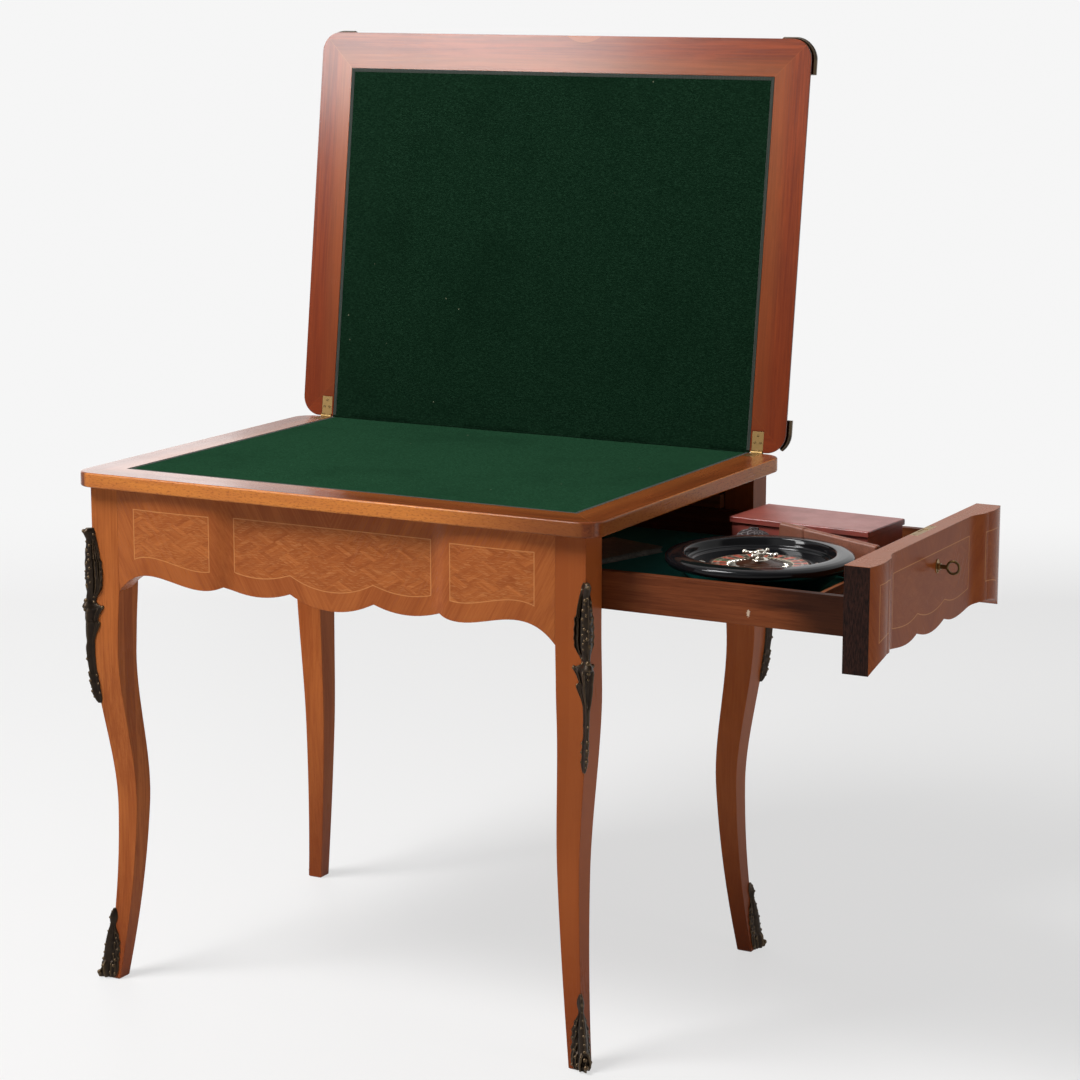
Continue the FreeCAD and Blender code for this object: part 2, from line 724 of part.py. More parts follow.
def foot_mount():
    """Sabot on the toe's outer corner, one loft from just above the floor to its tip."""
    rows = closer_stations(FOOT_MOUNT_STATIONS)
    return Part.makeLoft([mount_section(z, w, t, r) for z, w, t, r in rows], True, True)


def hinge_plate_place(side, z0, z1, grow):
    """Block round one hinge plate, let into an inner face beside the fold."""
    half = HINGE_WIDTH / 2 + grow
    middle = side * hinge_x
    return block(middle - half, middle + half, hinge_y - HINGE_LENGTH - grow, hinge_y, z0, z1)


def knuckle(side, start, end, radius):
    """Length of a cylinder on the fold's axis, from start to end across the hinge's width."""
    return rod(radius, V(side * hinge_x + start, hinge_y, hinge_z), X_AXIS, end - start)


def hinge_leaf(side, plate, own, others):
    """Hinge plate with its knuckles, cleared of the other plate's knuckles, bored for the pin."""
    leaf = plate.fuse([knuckle(side, a, b, KNUCKLE_RADIUS) for a, b in own])
    gap = KNUCKLE_END_GAP
    leaf = leaf.cut([knuckle(side, a - gap, b + gap, KNUCKLE_RADIUS + KNUCKLE_CLEARANCE) for a, b in others])
    bore = HINGE_PIN_RADIUS + PIN_RUNNING_FIT
    return leaf.cut(knuckle(side, -HINGE_WIDTH, HINGE_WIDTH, bore)).removeSplitter()


def hinge_pair(side):
    """Lower and upper halves of one hinge, with the leaf shut."""
    half = HINGE_WIDTH / 2
    third = HINGE_WIDTH / 6
    outer = [(-half, -third), (third, half)]
    inner = [(-third + KNUCKLE_END_GAP, third - KNUCKLE_END_GAP)]
    lower_plate = hinge_plate_place(side, TOP_HEIGHT - HINGE_PLATE, TOP_HEIGHT, 0)
    upper_plate = hinge_plate_place(side, leaf_inner, leaf_inner + HINGE_PLATE, 0)
    return hinge_leaf(side, lower_plate, outer, inner), hinge_leaf(side, upper_plate, inner, outer)


def hinge_cuts(z0, z1):
    """Housings for both hinge plates and the hollows that clear their knuckles."""
    cuts = []
    for side in SIDES.values():
        half = HINGE_WIDTH / 2 + HINGE_FIT
        cuts.append(hinge_plate_place(side, z0, z1, HINGE_FIT))
        cuts.append(knuckle(side, -half, half, KNUCKLE_RADIUS + KNUCKLE_CLEARANCE))
    return cuts


def baize_place(z0, z1, grow):
    """Flat block that fills the baize's recess, open at the fold."""
    half = baize_half + grow
    return block(-half, half, -(TOP_DEPTH / 2 - BORDER) - grow, TOP_DEPTH / 2 + grow, z0, z1)


def build_lower_top():
    nodes = {}
    slab = Part.Face(rounded_outline(TOP_WIDTH, TOP_DEPTH, TOP_CORNER_RADIUS, slab_bottom))
    slab = slab.extrude(V(0, 0, TOP_THICKNESS))
    rims = [e for e in slab.Edges if e.BoundBox.ZLength < TOP_EDGE_ROUND]
    slab = slab.makeFillet(TOP_EDGE_ROUND, rims)
    recess = baize_place(TOP_HEIGHT - BAIZE_RECESS, TOP_HEIGHT + BAIZE_RECESS, 0)
    flange_seat = rod(PIVOT_FLANGE_RADIUS + WOOD_FIT, V(pivot.x, pivot.y, slab_bottom), Z_AXIS, PIVOT_FLANGE)
    peg_foot = pivot + peg_direction(-0.5) * PEG_ORBIT + Z_AXIS * slab_bottom
    peg_hole = rod(PEG_RADIUS + PIN_SEAT_FIT, peg_foot, Z_AXIS, PEG_SEAT)
    cuts = [recess, flange_seat, peg_hole]
    cuts += hinge_cuts(TOP_HEIGHT - HINGE_PLATE - HINGE_FIT, TOP_HEIGHT + HINGE_PLATE)
    nodes["lower_top"] = slab.cut(cuts)
    baize_bottom = TOP_HEIGHT - BAIZE_RECESS
    nodes["lower_baize"] = baize_place(baize_bottom, baize_bottom + BAIZE_THICKNESS, -BAIZE_SIDE_GAP)

    pin_foot = frame_top - PIVOT_BOARD_THICKNESS - WASHER_GAP - WASHER_THICKNESS - NUT_THICKNESS - PIVOT_TAIL
    flange = rod(PIVOT_FLANGE_RADIUS, V(pivot.x, pivot.y, slab_bottom), Z_AXIS, PIVOT_FLANGE)
    pin = rod(PIVOT_RADIUS, V(pivot.x, pivot.y, pin_foot), Z_AXIS, slab_bottom + PIVOT_FLANGE - pin_foot)
    nodes["pivot_pin"] = flange.fuse(pin).removeSplitter()
    washer_z = board_bottom - WASHER_GAP - WASHER_THICKNESS
    hole = rod(PIVOT_RADIUS + PIN_SEAT_FIT, V(pivot.x, pivot.y, pin_foot), Z_AXIS, board_bottom - pin_foot)
    washer = rod(WASHER_RADIUS, V(pivot.x, pivot.y, washer_z), Z_AXIS, WASHER_THICKNESS)
    nodes["pivot_washer"] = washer.cut(hole)
    corner = NUT_FLATS / 2 / math.cos(math.pi / NUT_SIDES)
    turns = [2 * math.pi * i / NUT_SIDES for i in range(NUT_SIDES)]
    corners = [V(corner * math.cos(a), corner * math.sin(a), 0) for a in turns]
    nut = Part.Face(Part.makePolygon(corners + corners[:1])).extrude(Z_AXIS * NUT_THICKNESS)
    nut_z = washer_z - NUT_THICKNESS
    nodes["pivot_nut"] = nut.translated(V(pivot.x, pivot.y, nut_z)).cut(hole)
    peg_length = PEG_SEAT + TOP_GAP + PEG_REACH
    nodes["stop_peg"] = rod(PEG_RADIUS, peg_foot + Z_AXIS * PEG_SEAT, Z_AXIS * -1, peg_length)

    pins = []
    for name, side in SIDES.items():
        nodes["hinge_lower_" + name] = hinge_pair(side)[0]
        pins.append(knuckle(side, -HINGE_WIDTH / 2, HINGE_WIDTH / 2, HINGE_PIN_RADIUS))
    nodes["hinge_pins"] = Part.makeCompound(pins)
    return nodes


def leaf_inset(rise):
    """How far the moulded edge of the leaf has run in at a height above its inner face."""
    return LEAF_MOULDING_RUN * ease(max(0.0, rise - LEAF_LIP) / (LEAF_THICKNESS - LEAF_LIP))


def leaf_panel():
    """Leaf with a moulded edge: a loft through round-cornered outlines that run in by an ogee."""
    step = (LEAF_THICKNESS - LEAF_LIP) / LEAF_MOULDING_STEPS
    rises = [LEAF_LIP + step * i for i in range(LEAF_MOULDING_STEPS + 1)]
    sections = []
    for rise in [0.0] + rises:
        inset = leaf_inset(rise)
        sections.append(
            rounded_outline(
                TOP_WIDTH - 2 * inset, TOP_DEPTH - 2 * inset, TOP_CORNER_RADIUS - inset, leaf_inner + rise
            )
        )
    return Part.makeLoft(sections, True, True)


def clasp_section(base, out):
    """Cross-section of a corner clasp in the plane of the outward direction and Z."""
    skirt = LEAF_THICKNESS - CLASP_SKIRT
    g = CLASP_GAP
    rises = [skirt + CLASP_SKIRT * i / LEAF_MOULDING_STEPS for i in range(LEAF_MOULDING_STEPS + 1)]
    inner = [(g - leaf_inset(rise), rise) for rise in rises[:-1]]
    face = -LEAF_MOULDING_RUN
    top = LEAF_THICKNESS + g
    points = inner + [
        (face + g, top),
        (face - CLASP_FACE_WIDTH, top),
        (face - CLASP_FACE_WIDTH, top + CLASP_RISE / 2),
        (face, top + CLASP_RISE),
        (CLASP_STAND_OFF - CLASP_RISE, LEAF_THICKNESS - CLASP_RISE),
        (CLASP_STAND_OFF - CLASP_RISE / 2, skirt + CLASP_RISE),
        (g + CLASP_RISE / 2, skirt - CLASP_RISE),
    ]
    return Part.makePolygon([base + out * n + Z_AXIS * z for n, z in points + points[:1]])


def leaf_clasp(sx, at_hinge):
    """Bronze corner: the section carried along the side, round the corner and, away from the fold, along the
    other edge."""
    r = TOP_CORNER_RADIUS
    sweep = CLASP_HINGE_ARC if at_hinge else 90.0
    cx = TOP_WIDTH / 2 - r
    cy = TOP_DEPTH / 2 - r
    start = V(cx + r, cy - CLASP_SIDE_LEG, leaf_inner)
    turn = V(cx + r, cy, leaf_inner)

    def on_arc(angle):
        a = math.radians(angle)
        return V(cx + r * math.cos(a), cy + r * math.sin(a), leaf_inner)

    path = [line(start, turn), Part.Arc(turn, on_arc(sweep / 2), on_arc(sweep)).toShape()]
    if not at_hinge:
        path.append(line(on_arc(sweep), V(cx - CLASP_SIDE_LEG, cy + r, leaf_inner)))
    clasp = Part.Wire(path).makePipeShell([clasp_section(start, X_AXIS)], True, False)
    if sx < 0:
        clasp = clasp.mirror(ORIGIN, X_AXIS)
    return clasp if at_hinge else clasp.mirror(ORIGIN, Y_AXIS)


def opened(shape):
    """Turn a piece of the shut leaf to its upright rest place."""
    return shape.rotated(V(0, hinge_y, hinge_z), V(-1, 0, 0), LEAF_OPENING)


def build_leaf():
    nodes = {}
    recess = baize_place(leaf_inner - BAIZE_RECESS, leaf_inner + BAIZE_RECESS, 0)
    cuts = [recess] + hinge_cuts(leaf_inner - HINGE_PLATE, leaf_inner + HINGE_PLATE + HINGE_FIT)
    nodes["leaf"] = leaf_panel().cut(cuts)
    baize_top = leaf_inner + BAIZE_RECESS
    nodes["leaf_baize"] = baize_place(baize_top - BAIZE_THICKNESS, baize_top, -BAIZE_SIDE_GAP)
    for name, side in SIDES.items():
        nodes["hinge_upper_" + name] = hinge_pair(side)[1]
        nodes["leaf_clasp_hinge_" + name] = leaf_clasp(side, True)
        nodes["leaf_clasp_far_" + name] = leaf_clasp(side, False)
    return {name: opened(shape) for name, shape in nodes.items()}


def drawer_front():
    """Scalloped front like the aprons, with housings for the sides, the bottom, the lock and the key."""
    lowest = frame_top - SIDE_CUSP_DEPTH - SIDE_END_DROP - SIDE_LOBE_DROPS[0]
    edge = side_scallops(front_half)
    board = scalloped_board(front_half, DRAWER_FRONT_THICKNESS, SIDE_PANEL_HALF, edge, lowest, front_top)
    cuts = [drawer_side(side, WOOD_FIT) for side in SIDES.values()]
    cuts.append(drawer_bottom(WOOD_FIT))
    cuts += lock_body(LOCK_FIT)
    cuts += keyhole(lock_back, post_x, KEY_SHANK_RADIUS + KEYHOLE_CLEARANCE)
    return on_drawer_side(board).cut(cuts)


def drawer_side(side, grow):
    """Side board whose front end is let into the drawer front."""
    x1 = front_inner + DRAWER_HOUSING + grow
    board = block(
        drawer_back_x, x1, side_inner - grow, side_outer + grow, side_bottom - grow, side_top + grow
    )
    return board if side > 0 else board.mirror(ORIGIN, Y_AXIS)


def drawer_bottom(grow):
    """Thin panel held in grooves in the sides and the front."""
    half = side_inner + DRAWER_GROOVE + grow
    x1 = front_inner + DRAWER_GROOVE + grow
    return block(drawer_back_x, x1, -half, half, panel_bottom - grow, panel_top + grow)


def lock_body(grow):
    """Case let into the drawer front's inner face and its top plate, as two blocks."""
    bottom = front_top - LOCK_HEIGHT - grow
    half = LOCK_HALF_WIDTH + grow
    wide = LOCK_SELVEDGE_HALF + grow
    plate_z = front_top - LOCK_SELVEDGE - grow
    case = block(front_inner, lock_back + grow, LOCK_Y - half, LOCK_Y + half, bottom, front_top)
    plate = block(front_inner, lock_back + grow, LOCK_Y - wide, LOCK_Y + wide, plate_z, front_top)
    return [case, plate]


def keyhole(x0, x1, radius):
    """Round hole and slot for the bit, along X from x0 to x1."""
    half = KEY_BIT_HALF + KEYHOLE_CLEARANCE
    bottom = key_z - KEY_BIT_REACH - KEYHOLE_CLEARANCE
    hole = rod(radius, V(x0, LOCK_Y, key_z), X_AXIS, x1 - x0)
    return [hole, block(x0, x1, LOCK_Y - half, LOCK_Y + half, bottom, key_z)]


def lock_case():
    """Lock case with a round hollow for the bit and an upright way for the bolt."""
    case, plate = lock_body(0)
    body = case.fuse(plate).removeSplitter()
    hollow_radius = KEY_BIT_REACH + KEYHOLE_CLEARANCE
    hollow_start = V(front_inner + LOCK_WALL, LOCK_Y, key_z)
    hollow = rod(hollow_radius, hollow_start, X_AXIS, LOCK_DEPTH - 2 * LOCK_WALL)
    way = bolt_place(BOLT_CLEARANCE, key_z + hollow_radius - BOLT_WAY_OVERLAP, front_top)
    entry = keyhole(lock_back - LOCK_WALL, lock_back, KEY_SHANK_RADIUS + KEY_RUNNING_FIT)
    return body.cut([hollow, way] + entry)


def key():
    """Key in the lock: bit, shank, collar and ring bow standing upright."""
    bit_start = front_inner + LOCK_WALL + KEY_BIT_GAP
    shank_end = panel_face + KEY_VISIBLE
    shank = rod(KEY_SHANK_RADIUS, V(bit_start, LOCK_Y, key_z), X_AXIS, shank_end - bit_start)
    bit = block(
        bit_start,
        bit_start + KEY_BIT_LENGTH,
        LOCK_Y - KEY_BIT_HALF,
        LOCK_Y + KEY_BIT_HALF,
        key_z - KEY_BIT_REACH,
        key_z,
    )
    collar_start = panel_face + ESCUTCHEON_THICKNESS + KEY_COLLAR_STAND
    collar = rod(KEY_COLLAR_RADIUS, V(collar_start, LOCK_Y, key_z), X_AXIS, KEY_COLLAR)
    bow_middle = V(shank_end + KEY_BOW_RADIUS - KEY_BOW_TUBE / 2, LOCK_Y, key_z)
    bow = Part.makeTorus(KEY_BOW_RADIUS, KEY_BOW_TUBE, bow_middle, Y_AXIS)
    return shank.fuse([bit, collar, bow]).removeSplitter()


def escutcheon():
    """Oval plate round the keyhole on the drawer front's flat middle."""
    ring = Part.Ellipse(ORIGIN, ESCUTCHEON_HEIGHT / 2, ESCUTCHEON_WIDTH / 2).toShape()
    plate = Part.Face(Part.Wire(ring)).extrude(Z_AXIS * ESCUTCHEON_THICKNESS)
    plate = plate.rotated(ORIGIN, Y_AXIS, 90).translated(V(panel_face, LOCK_Y, key_z))
    outer_face = panel_face + ESCUTCHEON_THICKNESS
    return plate.cut(keyhole(panel_face, outer_face, KEY_SHANK_RADIUS + KEYHOLE_CLEARANCE))


def build_drawer():
    nodes = {}
    nodes["drawer_front"] = drawer_front()
    for name, side in (("front", -1), ("back", 1)):
        nodes["drawer_side_" + name] = drawer_side(side, 0).cut(drawer_bottom(WOOD_FIT))
    back_top = side_top - DRAWER_BACK_DROP
    nodes["drawer_back"] = block(
        drawer_back_x, drawer_back_x + DRAWER_BACK, -side_inner, side_inner, panel_top, back_top
    )
    nodes["drawer_bottom"] = drawer_bottom(0)
    lining_back = drawer_back_x + DRAWER_BACK + LINING_GAP
    lining_half = side_inner - LINING_GAP
    lining_front = front_inner - LINING_GAP
    lining_top = panel_top + LINING_THICKNESS
    nodes["drawer_lining"] = block(
        lining_back, lining_front, -lining_half, lining_half, panel_top, lining_top
    )
    divider_half = side_inner - DIVIDER_GAP
    divider_top = floor_z + DIVIDER_HEIGHT
    nodes["drawer_divider"] = block(
        divider_back,
        divider_back + DIVIDER_THICKNESS,
        -divider_half,
        divider_half,
        floor_z,
        divider_top,
    )
    nodes["lock_case"] = lock_case()
    nodes["escutcheon"] = escutcheon()
    nodes["lock_bolt"] = bolt_place(
        0, key_z + KEY_BIT_REACH + BOLT_ABOVE_BIT, front_top - BOLT_SINK
    )
    nodes["key"] = key()
    nodes.update(build_roulette())
    nodes.update(build_contents())
    return {name: shape.translated(V(DRAWER_OUT, 0, 0)) for name, shape in nodes.items()}


def bowl_wall():
    """Inner wall of the roulette bowl as its lower and upper (radius, height) points."""
    ledge = BOWL_FLOOR + BOWL_WELL_DEPTH
    low = (well_radius + BOWL_LEDGE, ledge + BOWL_LEDGE / 2)
    high = (bowl_rim - BOWL_LIP, BOWL_HEIGHT - BOWL_LIP)
    return low, high


def roulette_bowl():
    """Turned bowl: hollow foot, flared side, broad rim, sloping wall, well for the wheel and its spindle."""
    low, high = bowl_wall()
    hollow = bowl_foot - BOWL_FOOT_RING
    profile = [
        (0.0, BOWL_FLOOR - BOWL_THICKNESS),
        (hollow - BOWL_THICKNESS, BOWL_FLOOR - BOWL_THICKNESS),
        (hollow, 0.0),
        (bowl_foot, 0.0),
        (bowl_foot + BOWL_FOOT_BEVEL, BOWL_FOOT_RISE),
        (bowl_radius - BOWL_RIM_OVERHANG, BOWL_HEIGHT - BOWL_RIM_UNDERCUT),
        (bowl_radius - BOWL_RIM_ROUND / 4, BOWL_HEIGHT - BOWL_RIM_OVERHANG),
        (bowl_radius, BOWL_HEIGHT - BOWL_RIM_ROUND),
        (bowl_radius - BOWL_RIM_ROUND / 4, BOWL_HEIGHT - BOWL_RIM_ROUND / 3),
        (bowl_radius - BOWL_RIM_ROUND, BOWL_HEIGHT),
        (bowl_rim + BOWL_LIP, BOWL_HEIGHT),
        (bowl_rim, BOWL_HEIGHT - BOWL_LIP / 3),
        high,
        low,
        (well_radius, BOWL_FLOOR + BOWL_WELL_DEPTH),
        (well_radius, BOWL_FLOOR),
        (SPINDLE_RADIUS, BOWL_FLOOR),
        (SPINDLE_RADIUS, BOWL_FLOOR + SPINDLE_HEIGHT),
        (0.0, BOWL_FLOOR + SPINDLE_HEIGHT),
    ]
    return turned(profile)


def wheel():
    """Rotor with a sloping rim, a ring groove for the pockets and a cone; its number ring and its turret."""
    z0 = BOWL_FLOOR + ROTOR_GAP
    edge = z0 + ROTOR_EDGE
    rim = well_radius - ROTOR_GAP
    bore = SPINDLE_RADIUS + SPINDLE_RUNNING_FIT
    seat = edge - NUMBER_RING_THICKNESS
    cone_top = edge + ROTOR_CONE_RISE
    rotor = turned([
        (bore, z0),
        (rim, z0),
        (rim, edge),
        (rim - ROTOR_LIP, edge),
        (rim - ROTOR_LIP, seat),
        (ring_inner, seat),
        (ring_inner, edge - POCKET_DEPTH),
        (pocket_inner, edge - POCKET_DEPTH),
        (pocket_inner, edge),
        (ROTOR_CONE_RADIUS, cone_top),
        (bore, cone_top),
    ])
    ring_outer = rim - ROTOR_LIP - RING_FIT
    band = [(ring_inner, seat), (ring_outer, seat), (ring_outer, edge), (ring_inner, edge)]
    ring = turned(band)
    return {"rotor": rotor, "number_ring": ring, "turret": turret(cone_top)}


def turret(z0):
    """Turned post with a knob and a cross of arms with ball ends."""
    base_z, waist_z, arm_z, neck_z, knob_z = [z0 + TURRET_HEIGHT * share for share in TURRET_LEVELS]
    top = z0 + TURRET_HEIGHT
    post = turned([
        (0.0, z0),
        (ROTOR_CONE_RADIUS - TURRET_SWELL, z0),
        (TURRET_WAIST + TURRET_SWELL, base_z),
        (TURRET_WAIST, waist_z),
        (TURRET_WAIST + TURRET_SWELL, arm_z),
        (TURRET_WAIST - TURRET_SWELL / 2, neck_z),
        (TURRET_WAIST + TURRET_SWELL / 2, knob_z),
        (TURRET_WAIST - TURRET_SWELL, top),
        (0.0, top),
    ])
    arms = []
    for i in range(TURRET_ARMS):
        angle = 2 * math.pi * i / TURRET_ARMS
        out = V(math.cos(angle), math.sin(angle), 0)
        arms.append(rod(TURRET_ARM_RADIUS, V(0, 0, arm_z), out, TURRET_ARM))
        arms.append(Part.makeSphere(TURRET_BALL, V(0, 0, arm_z) + out * TURRET_ARM))
    return post.fuse(arms).removeSplitter()


def deflector(angle):
    """Diamond stud lying on the bowl's sloping wall."""
    low, high = bowl_wall()
    a = math.radians(angle)
    radial = V(math.cos(a), math.sin(a), 0)
    tangent = V(-math.sin(a), math.cos(a), 0)
    slope = (radial * (high[0] - low[0]) + Z_AXIS * (high[1] - low[1])).normalize()
    normal = slope.cross(tangent).normalize()
    middle = radial * ((low[0] + high[0]) / 2) + Z_AXIS * ((low[1] + high[1]) / 2) + normal * DEFLECTOR_GAP
    tips = [slope * (DEFLECTOR_LENGTH / 2), tangent * (DEFLECTOR_WIDTH / 2)]
    points = [middle + tips[0], middle + tips[1], middle - tips[0], middle - tips[1]]
    stud = Part.Face(Part.makePolygon(points + points[:1])).extrude(normal * DEFLECTOR_THICKNESS)
    return stud


def build_roulette():
    nodes = {"roulette_bowl": roulette_bowl()}
    nodes.update(wheel())
    nodes["deflectors"] = Part.makeCompound([deflector(a) for a in DEFLECTOR_ANGLES])
    return {name: shape.translated(bowl_middle) for name, shape in nodes.items()}


def level_direction(angle):
    """Level unit vector at an angle in degrees from +X."""
    a = math.radians(angle)
    return V(math.cos(a), math.sin(a), 0)


def case_heel():
    """Foot of the leather case's right end: beside the divider, with the case running back past the bowl."""
    along = level_direction(CASE_TURN)
    across = level_direction(CASE_TURN + 90)
    beside_bowl = bowl_middle + across * (bowl_radius + CASE_BOWL_GAP + CASE_WIDTH / 2 + CASE_CAP_STEP)
    lean = CASE_HEIGHT * math.sin(math.radians(CASE_TILT)) * along.x
    heel_x = divider_back - CASE_END_GAP - lean - across.x * CASE_WIDTH / 2
    return beside_bowl + along * ((heel_x - beside_bowl.x) / along.x)


def case_corner(side):
    """Corner of the case's left end on its far side (1) or its near side (-1)."""
    half = CASE_WIDTH / 2 + CASE_CAP_STEP
    back = level_direction(CASE_TURN) * -CASE_LENGTH
    return case_heel() + back + level_direction(CASE_TURN + 90) * (side * half)


def game_box_middle():
    """Middle of the red box's foot: its lid's near edge lies just past the leather case's far corner."""
    across = level_direction(GAME_BOX_TURN + 90)
    reach = GAME_BOX_SHARE * side_inner / 2 + LID_FIT + LID_OVERHANG + GAME_BOX_CASE_GAP
    x = front_inner - GAME_BOX_FROM_FRONT
    corner = case_corner(1)
    return V(x, corner.y + (reach + (corner.x - x) * across.x) / across.y, floor_z)


def pouch_middle():
    """Middle of the pouch's foot, in the corner between the bowl, the case's left end and the red box."""
    across = level_direction(GAME_BOX_TURN + 90)
    beside_case = case_corner(-1).x - POUCH_RADIUS - POUCH_GAP
    box = game_box_middle()
    reach = GAME_BOX_SHARE * side_inner / 2 + LID_FIT + LID_OVERHANG + POUCH_RADIUS + POUCH_GAP
    y = box.y - (reach + (beside_case - box.x) * across.x) / across.y
    from_bowl = bowl_radius + POUCH_RADIUS + POUCH_GAP / 2
    rise = min(from_bowl, y - bowl_middle.y)
    beside_bowl = bowl_middle.x - math.sqrt(from_bowl ** 2 - rise ** 2)
    return V(min(beside_case, beside_bowl), y, floor_z)


def game_box():
    """Open tray and a lid with a short skirt round it, turned a little in the drawer."""
    half_x = GAME_BOX_LENGTH / 2
    half_y = GAME_BOX_SHARE * side_inner / 2
    w = GAME_BOX_WALL
    fit_x = half_x + LID_FIT
    fit_y = half_y + LID_FIT
    lid_x = fit_x + LID_OVERHANG
    lid_y = fit_y + LID_OVERHANG
    top = GAME_BOX_HEIGHT
    inside = block(-half_x + w, half_x - w, -half_y + w, half_y - w, w, top)
    tray = block(-half_x, half_x, -half_y, half_y, 0, top).cut(inside)
    lid = block(-lid_x, lid_x, -lid_y, lid_y, top - LID_SKIRT, top + LID_THICKNESS)
    lid = lid.makeFillet(LID_EDGE_ROUND, [e for e in lid.Edges if e.BoundBox.ZMax > top])
    lid = lid.cut(block(-fit_x, fit_x, -fit_y, fit_y, top - LID_SKIRT, top))
    place = game_box_middle()
    return {
        "game_box": tray.rotated(ORIGIN, Z_AXIS, GAME_BOX_TURN).translated(place),
        "game_box_lid": lid.rotated(ORIGIN, Z_AXIS, GAME_BOX_TURN).translated(place),
    }


def leather_case():
    """Flat case standing on its long edge, one end a little raised: a body and a slightly wider cap."""
    def sleeve(x0, x1, width, height):
        half = width / 2
        body = block(x0, x1, -half, half, 0, height)
        long_edges = [e for e in body.Edges if e.BoundBox.XLength > width]
        return body.makeFillet(CASE_ROUND, long_edges)

    split = CASE_CAP - CASE_LENGTH
    body = sleeve(split, 0, CASE_WIDTH, CASE_HEIGHT)
    cap = sleeve(-CASE_LENGTH, split, CASE_WIDTH + 2 * CASE_CAP_STEP, CASE_HEIGHT + CASE_CAP_STEP)
    leaned = [piece.rotated(ORIGIN, Y_AXIS, CASE_TILT) for piece in (body, cap)]
    turned_round = [piece.rotated(ORIGIN, Z_AXIS, CASE_TURN) for piece in leaned]
    return Part.makeCompound([piece.translated(case_heel()) for piece in turned_round])


def pouch():
    """Small drawstring bag: a full belly drawn in to a neck and an open frill."""
    belly = [(POUCH_RADIUS * r, POUCH_HEIGHT * h) for r, h in POUCH_PROFILE]
    neck = [(POUCH_NECK, POUCH_HEIGHT * POUCH_NECK_LEVEL), (POUCH_NECK * POUCH_FRILL, POUCH_HEIGHT)]
    profile = [(0.0, 0.0)] + belly + neck + [(0.0, POUCH_HEIGHT)]
    return turned(profile).translated(pouch_middle())


def counters():
    """Stacks of flat round counters in the front compartment."""
    x = front_inner - DIVIDER_FROM_FRONT / 2
    first_y = -side_inner + COUNTER_SIDE_GAP + COUNTER_RADIUS
    discs = []
    for i, count in enumerate(COUNTER_STACKS):
        for j in range(count):
            z = floor_z + j * (COUNTER_THICKNESS + COUNTER_GAP)
            y = first_y + i * COUNTER_PITCH
            discs.append(rod(COUNTER_RADIUS, V(x, y, z), Z_AXIS, COUNTER_THICKNESS))
    return Part.makeCompound(discs)


def score_pad():
    pad = block(-PAD_WIDTH / 2, PAD_WIDTH / 2, -PAD_LENGTH / 2, PAD_LENGTH / 2, 0, PAD_THICKNESS)
    place = V(front_inner - PAD_FROM_FRONT, PAD_Y, floor_z)
    return pad.rotated(ORIGIN, Z_AXIS, PAD_TURN).translated(place)


def build_contents():
    nodes = game_box()
    nodes["leather_case"] = leather_case()
    nodes["counter_pouch"] = pouch()
    nodes["counters"] = counters()
    nodes["score_pad"] = score_pad()
    return nodes


os.makedirs("parts", exist_ok=True)
for build in (build_frame, build_lower_top, build_leaf, build_drawer):
    for name, shape in build().items():
        shape.exportStep("parts/" + name + ".step")
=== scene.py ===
import json
import math

import bmesh
import bpy
import numpy as np
from mathutils import Matrix, Vector


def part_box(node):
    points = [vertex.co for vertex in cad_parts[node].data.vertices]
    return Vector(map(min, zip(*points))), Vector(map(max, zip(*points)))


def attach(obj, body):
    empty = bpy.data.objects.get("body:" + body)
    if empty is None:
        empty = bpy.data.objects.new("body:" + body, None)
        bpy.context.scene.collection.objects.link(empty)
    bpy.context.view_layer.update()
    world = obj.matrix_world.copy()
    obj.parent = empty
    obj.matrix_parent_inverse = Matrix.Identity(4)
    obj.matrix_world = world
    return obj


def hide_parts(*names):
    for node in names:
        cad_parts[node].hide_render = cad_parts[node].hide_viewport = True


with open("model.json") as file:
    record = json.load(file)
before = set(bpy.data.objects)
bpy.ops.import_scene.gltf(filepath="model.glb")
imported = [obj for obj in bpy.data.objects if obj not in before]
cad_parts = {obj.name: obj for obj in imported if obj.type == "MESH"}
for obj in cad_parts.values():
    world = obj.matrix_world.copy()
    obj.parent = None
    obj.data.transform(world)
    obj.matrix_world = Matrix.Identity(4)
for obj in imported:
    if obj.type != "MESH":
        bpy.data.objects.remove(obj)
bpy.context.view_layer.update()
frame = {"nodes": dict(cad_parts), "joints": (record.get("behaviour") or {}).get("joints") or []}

bl_info = {
    "name": "Games table",
    "version": (1, 0, 0),
    "blender": (4, 5, 0),
    "location": "View3D > Sidebar > Games table",
    "description": "Finishes a folding games table with a roulette drawer: veneers, baize, bronze mounts, contents",
    "category": "Object",
}

NODES = frame["nodes"]
MM = 0.001
CORNERS = {
    "back_right": (1, 1, 0), "back_left": (-1, 1, 90), "front_left": (-1, -1, 180), "front_right": (1, -1, 270),
}
SIDES = ("left", "right")
LEAF_FOLD = next(joint for joint in frame["joints"] if joint["name"] == "leaf_fold")
LEAF_OPENING = math.radians(-LEAF_FOLD["range_deg"][0])
FOLD_Y, FOLD_Z = LEAF_FOLD["pos_m"][1:]
FRAME_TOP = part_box("leg_front_left")[1][2]
TOP_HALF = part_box("lower_top")[1]
OVERHANG_X, OVERHANG_Y = 0.021, 0.015
POST_X, POST_Y = TOP_HALF[0] - OVERHANG_X, TOP_HALF[1] - OVERHANG_Y
PANEL_MARGIN = 0.026
LONG_PANELS = (0.158, (0.192, 0.320))
SHORT_PANELS = (0.140, (0.176, 0.216))
EDGE_LEVEL = {"front_apron": 0.625, "left_apron": 0.620, "drawer_front": 0.610}
DRAWER_FRONT_BACK = 0.7336
FIELD_INSET = 0.0560
LOZENGES_ALONG, LOZENGES_UP = 22.0, 40.0
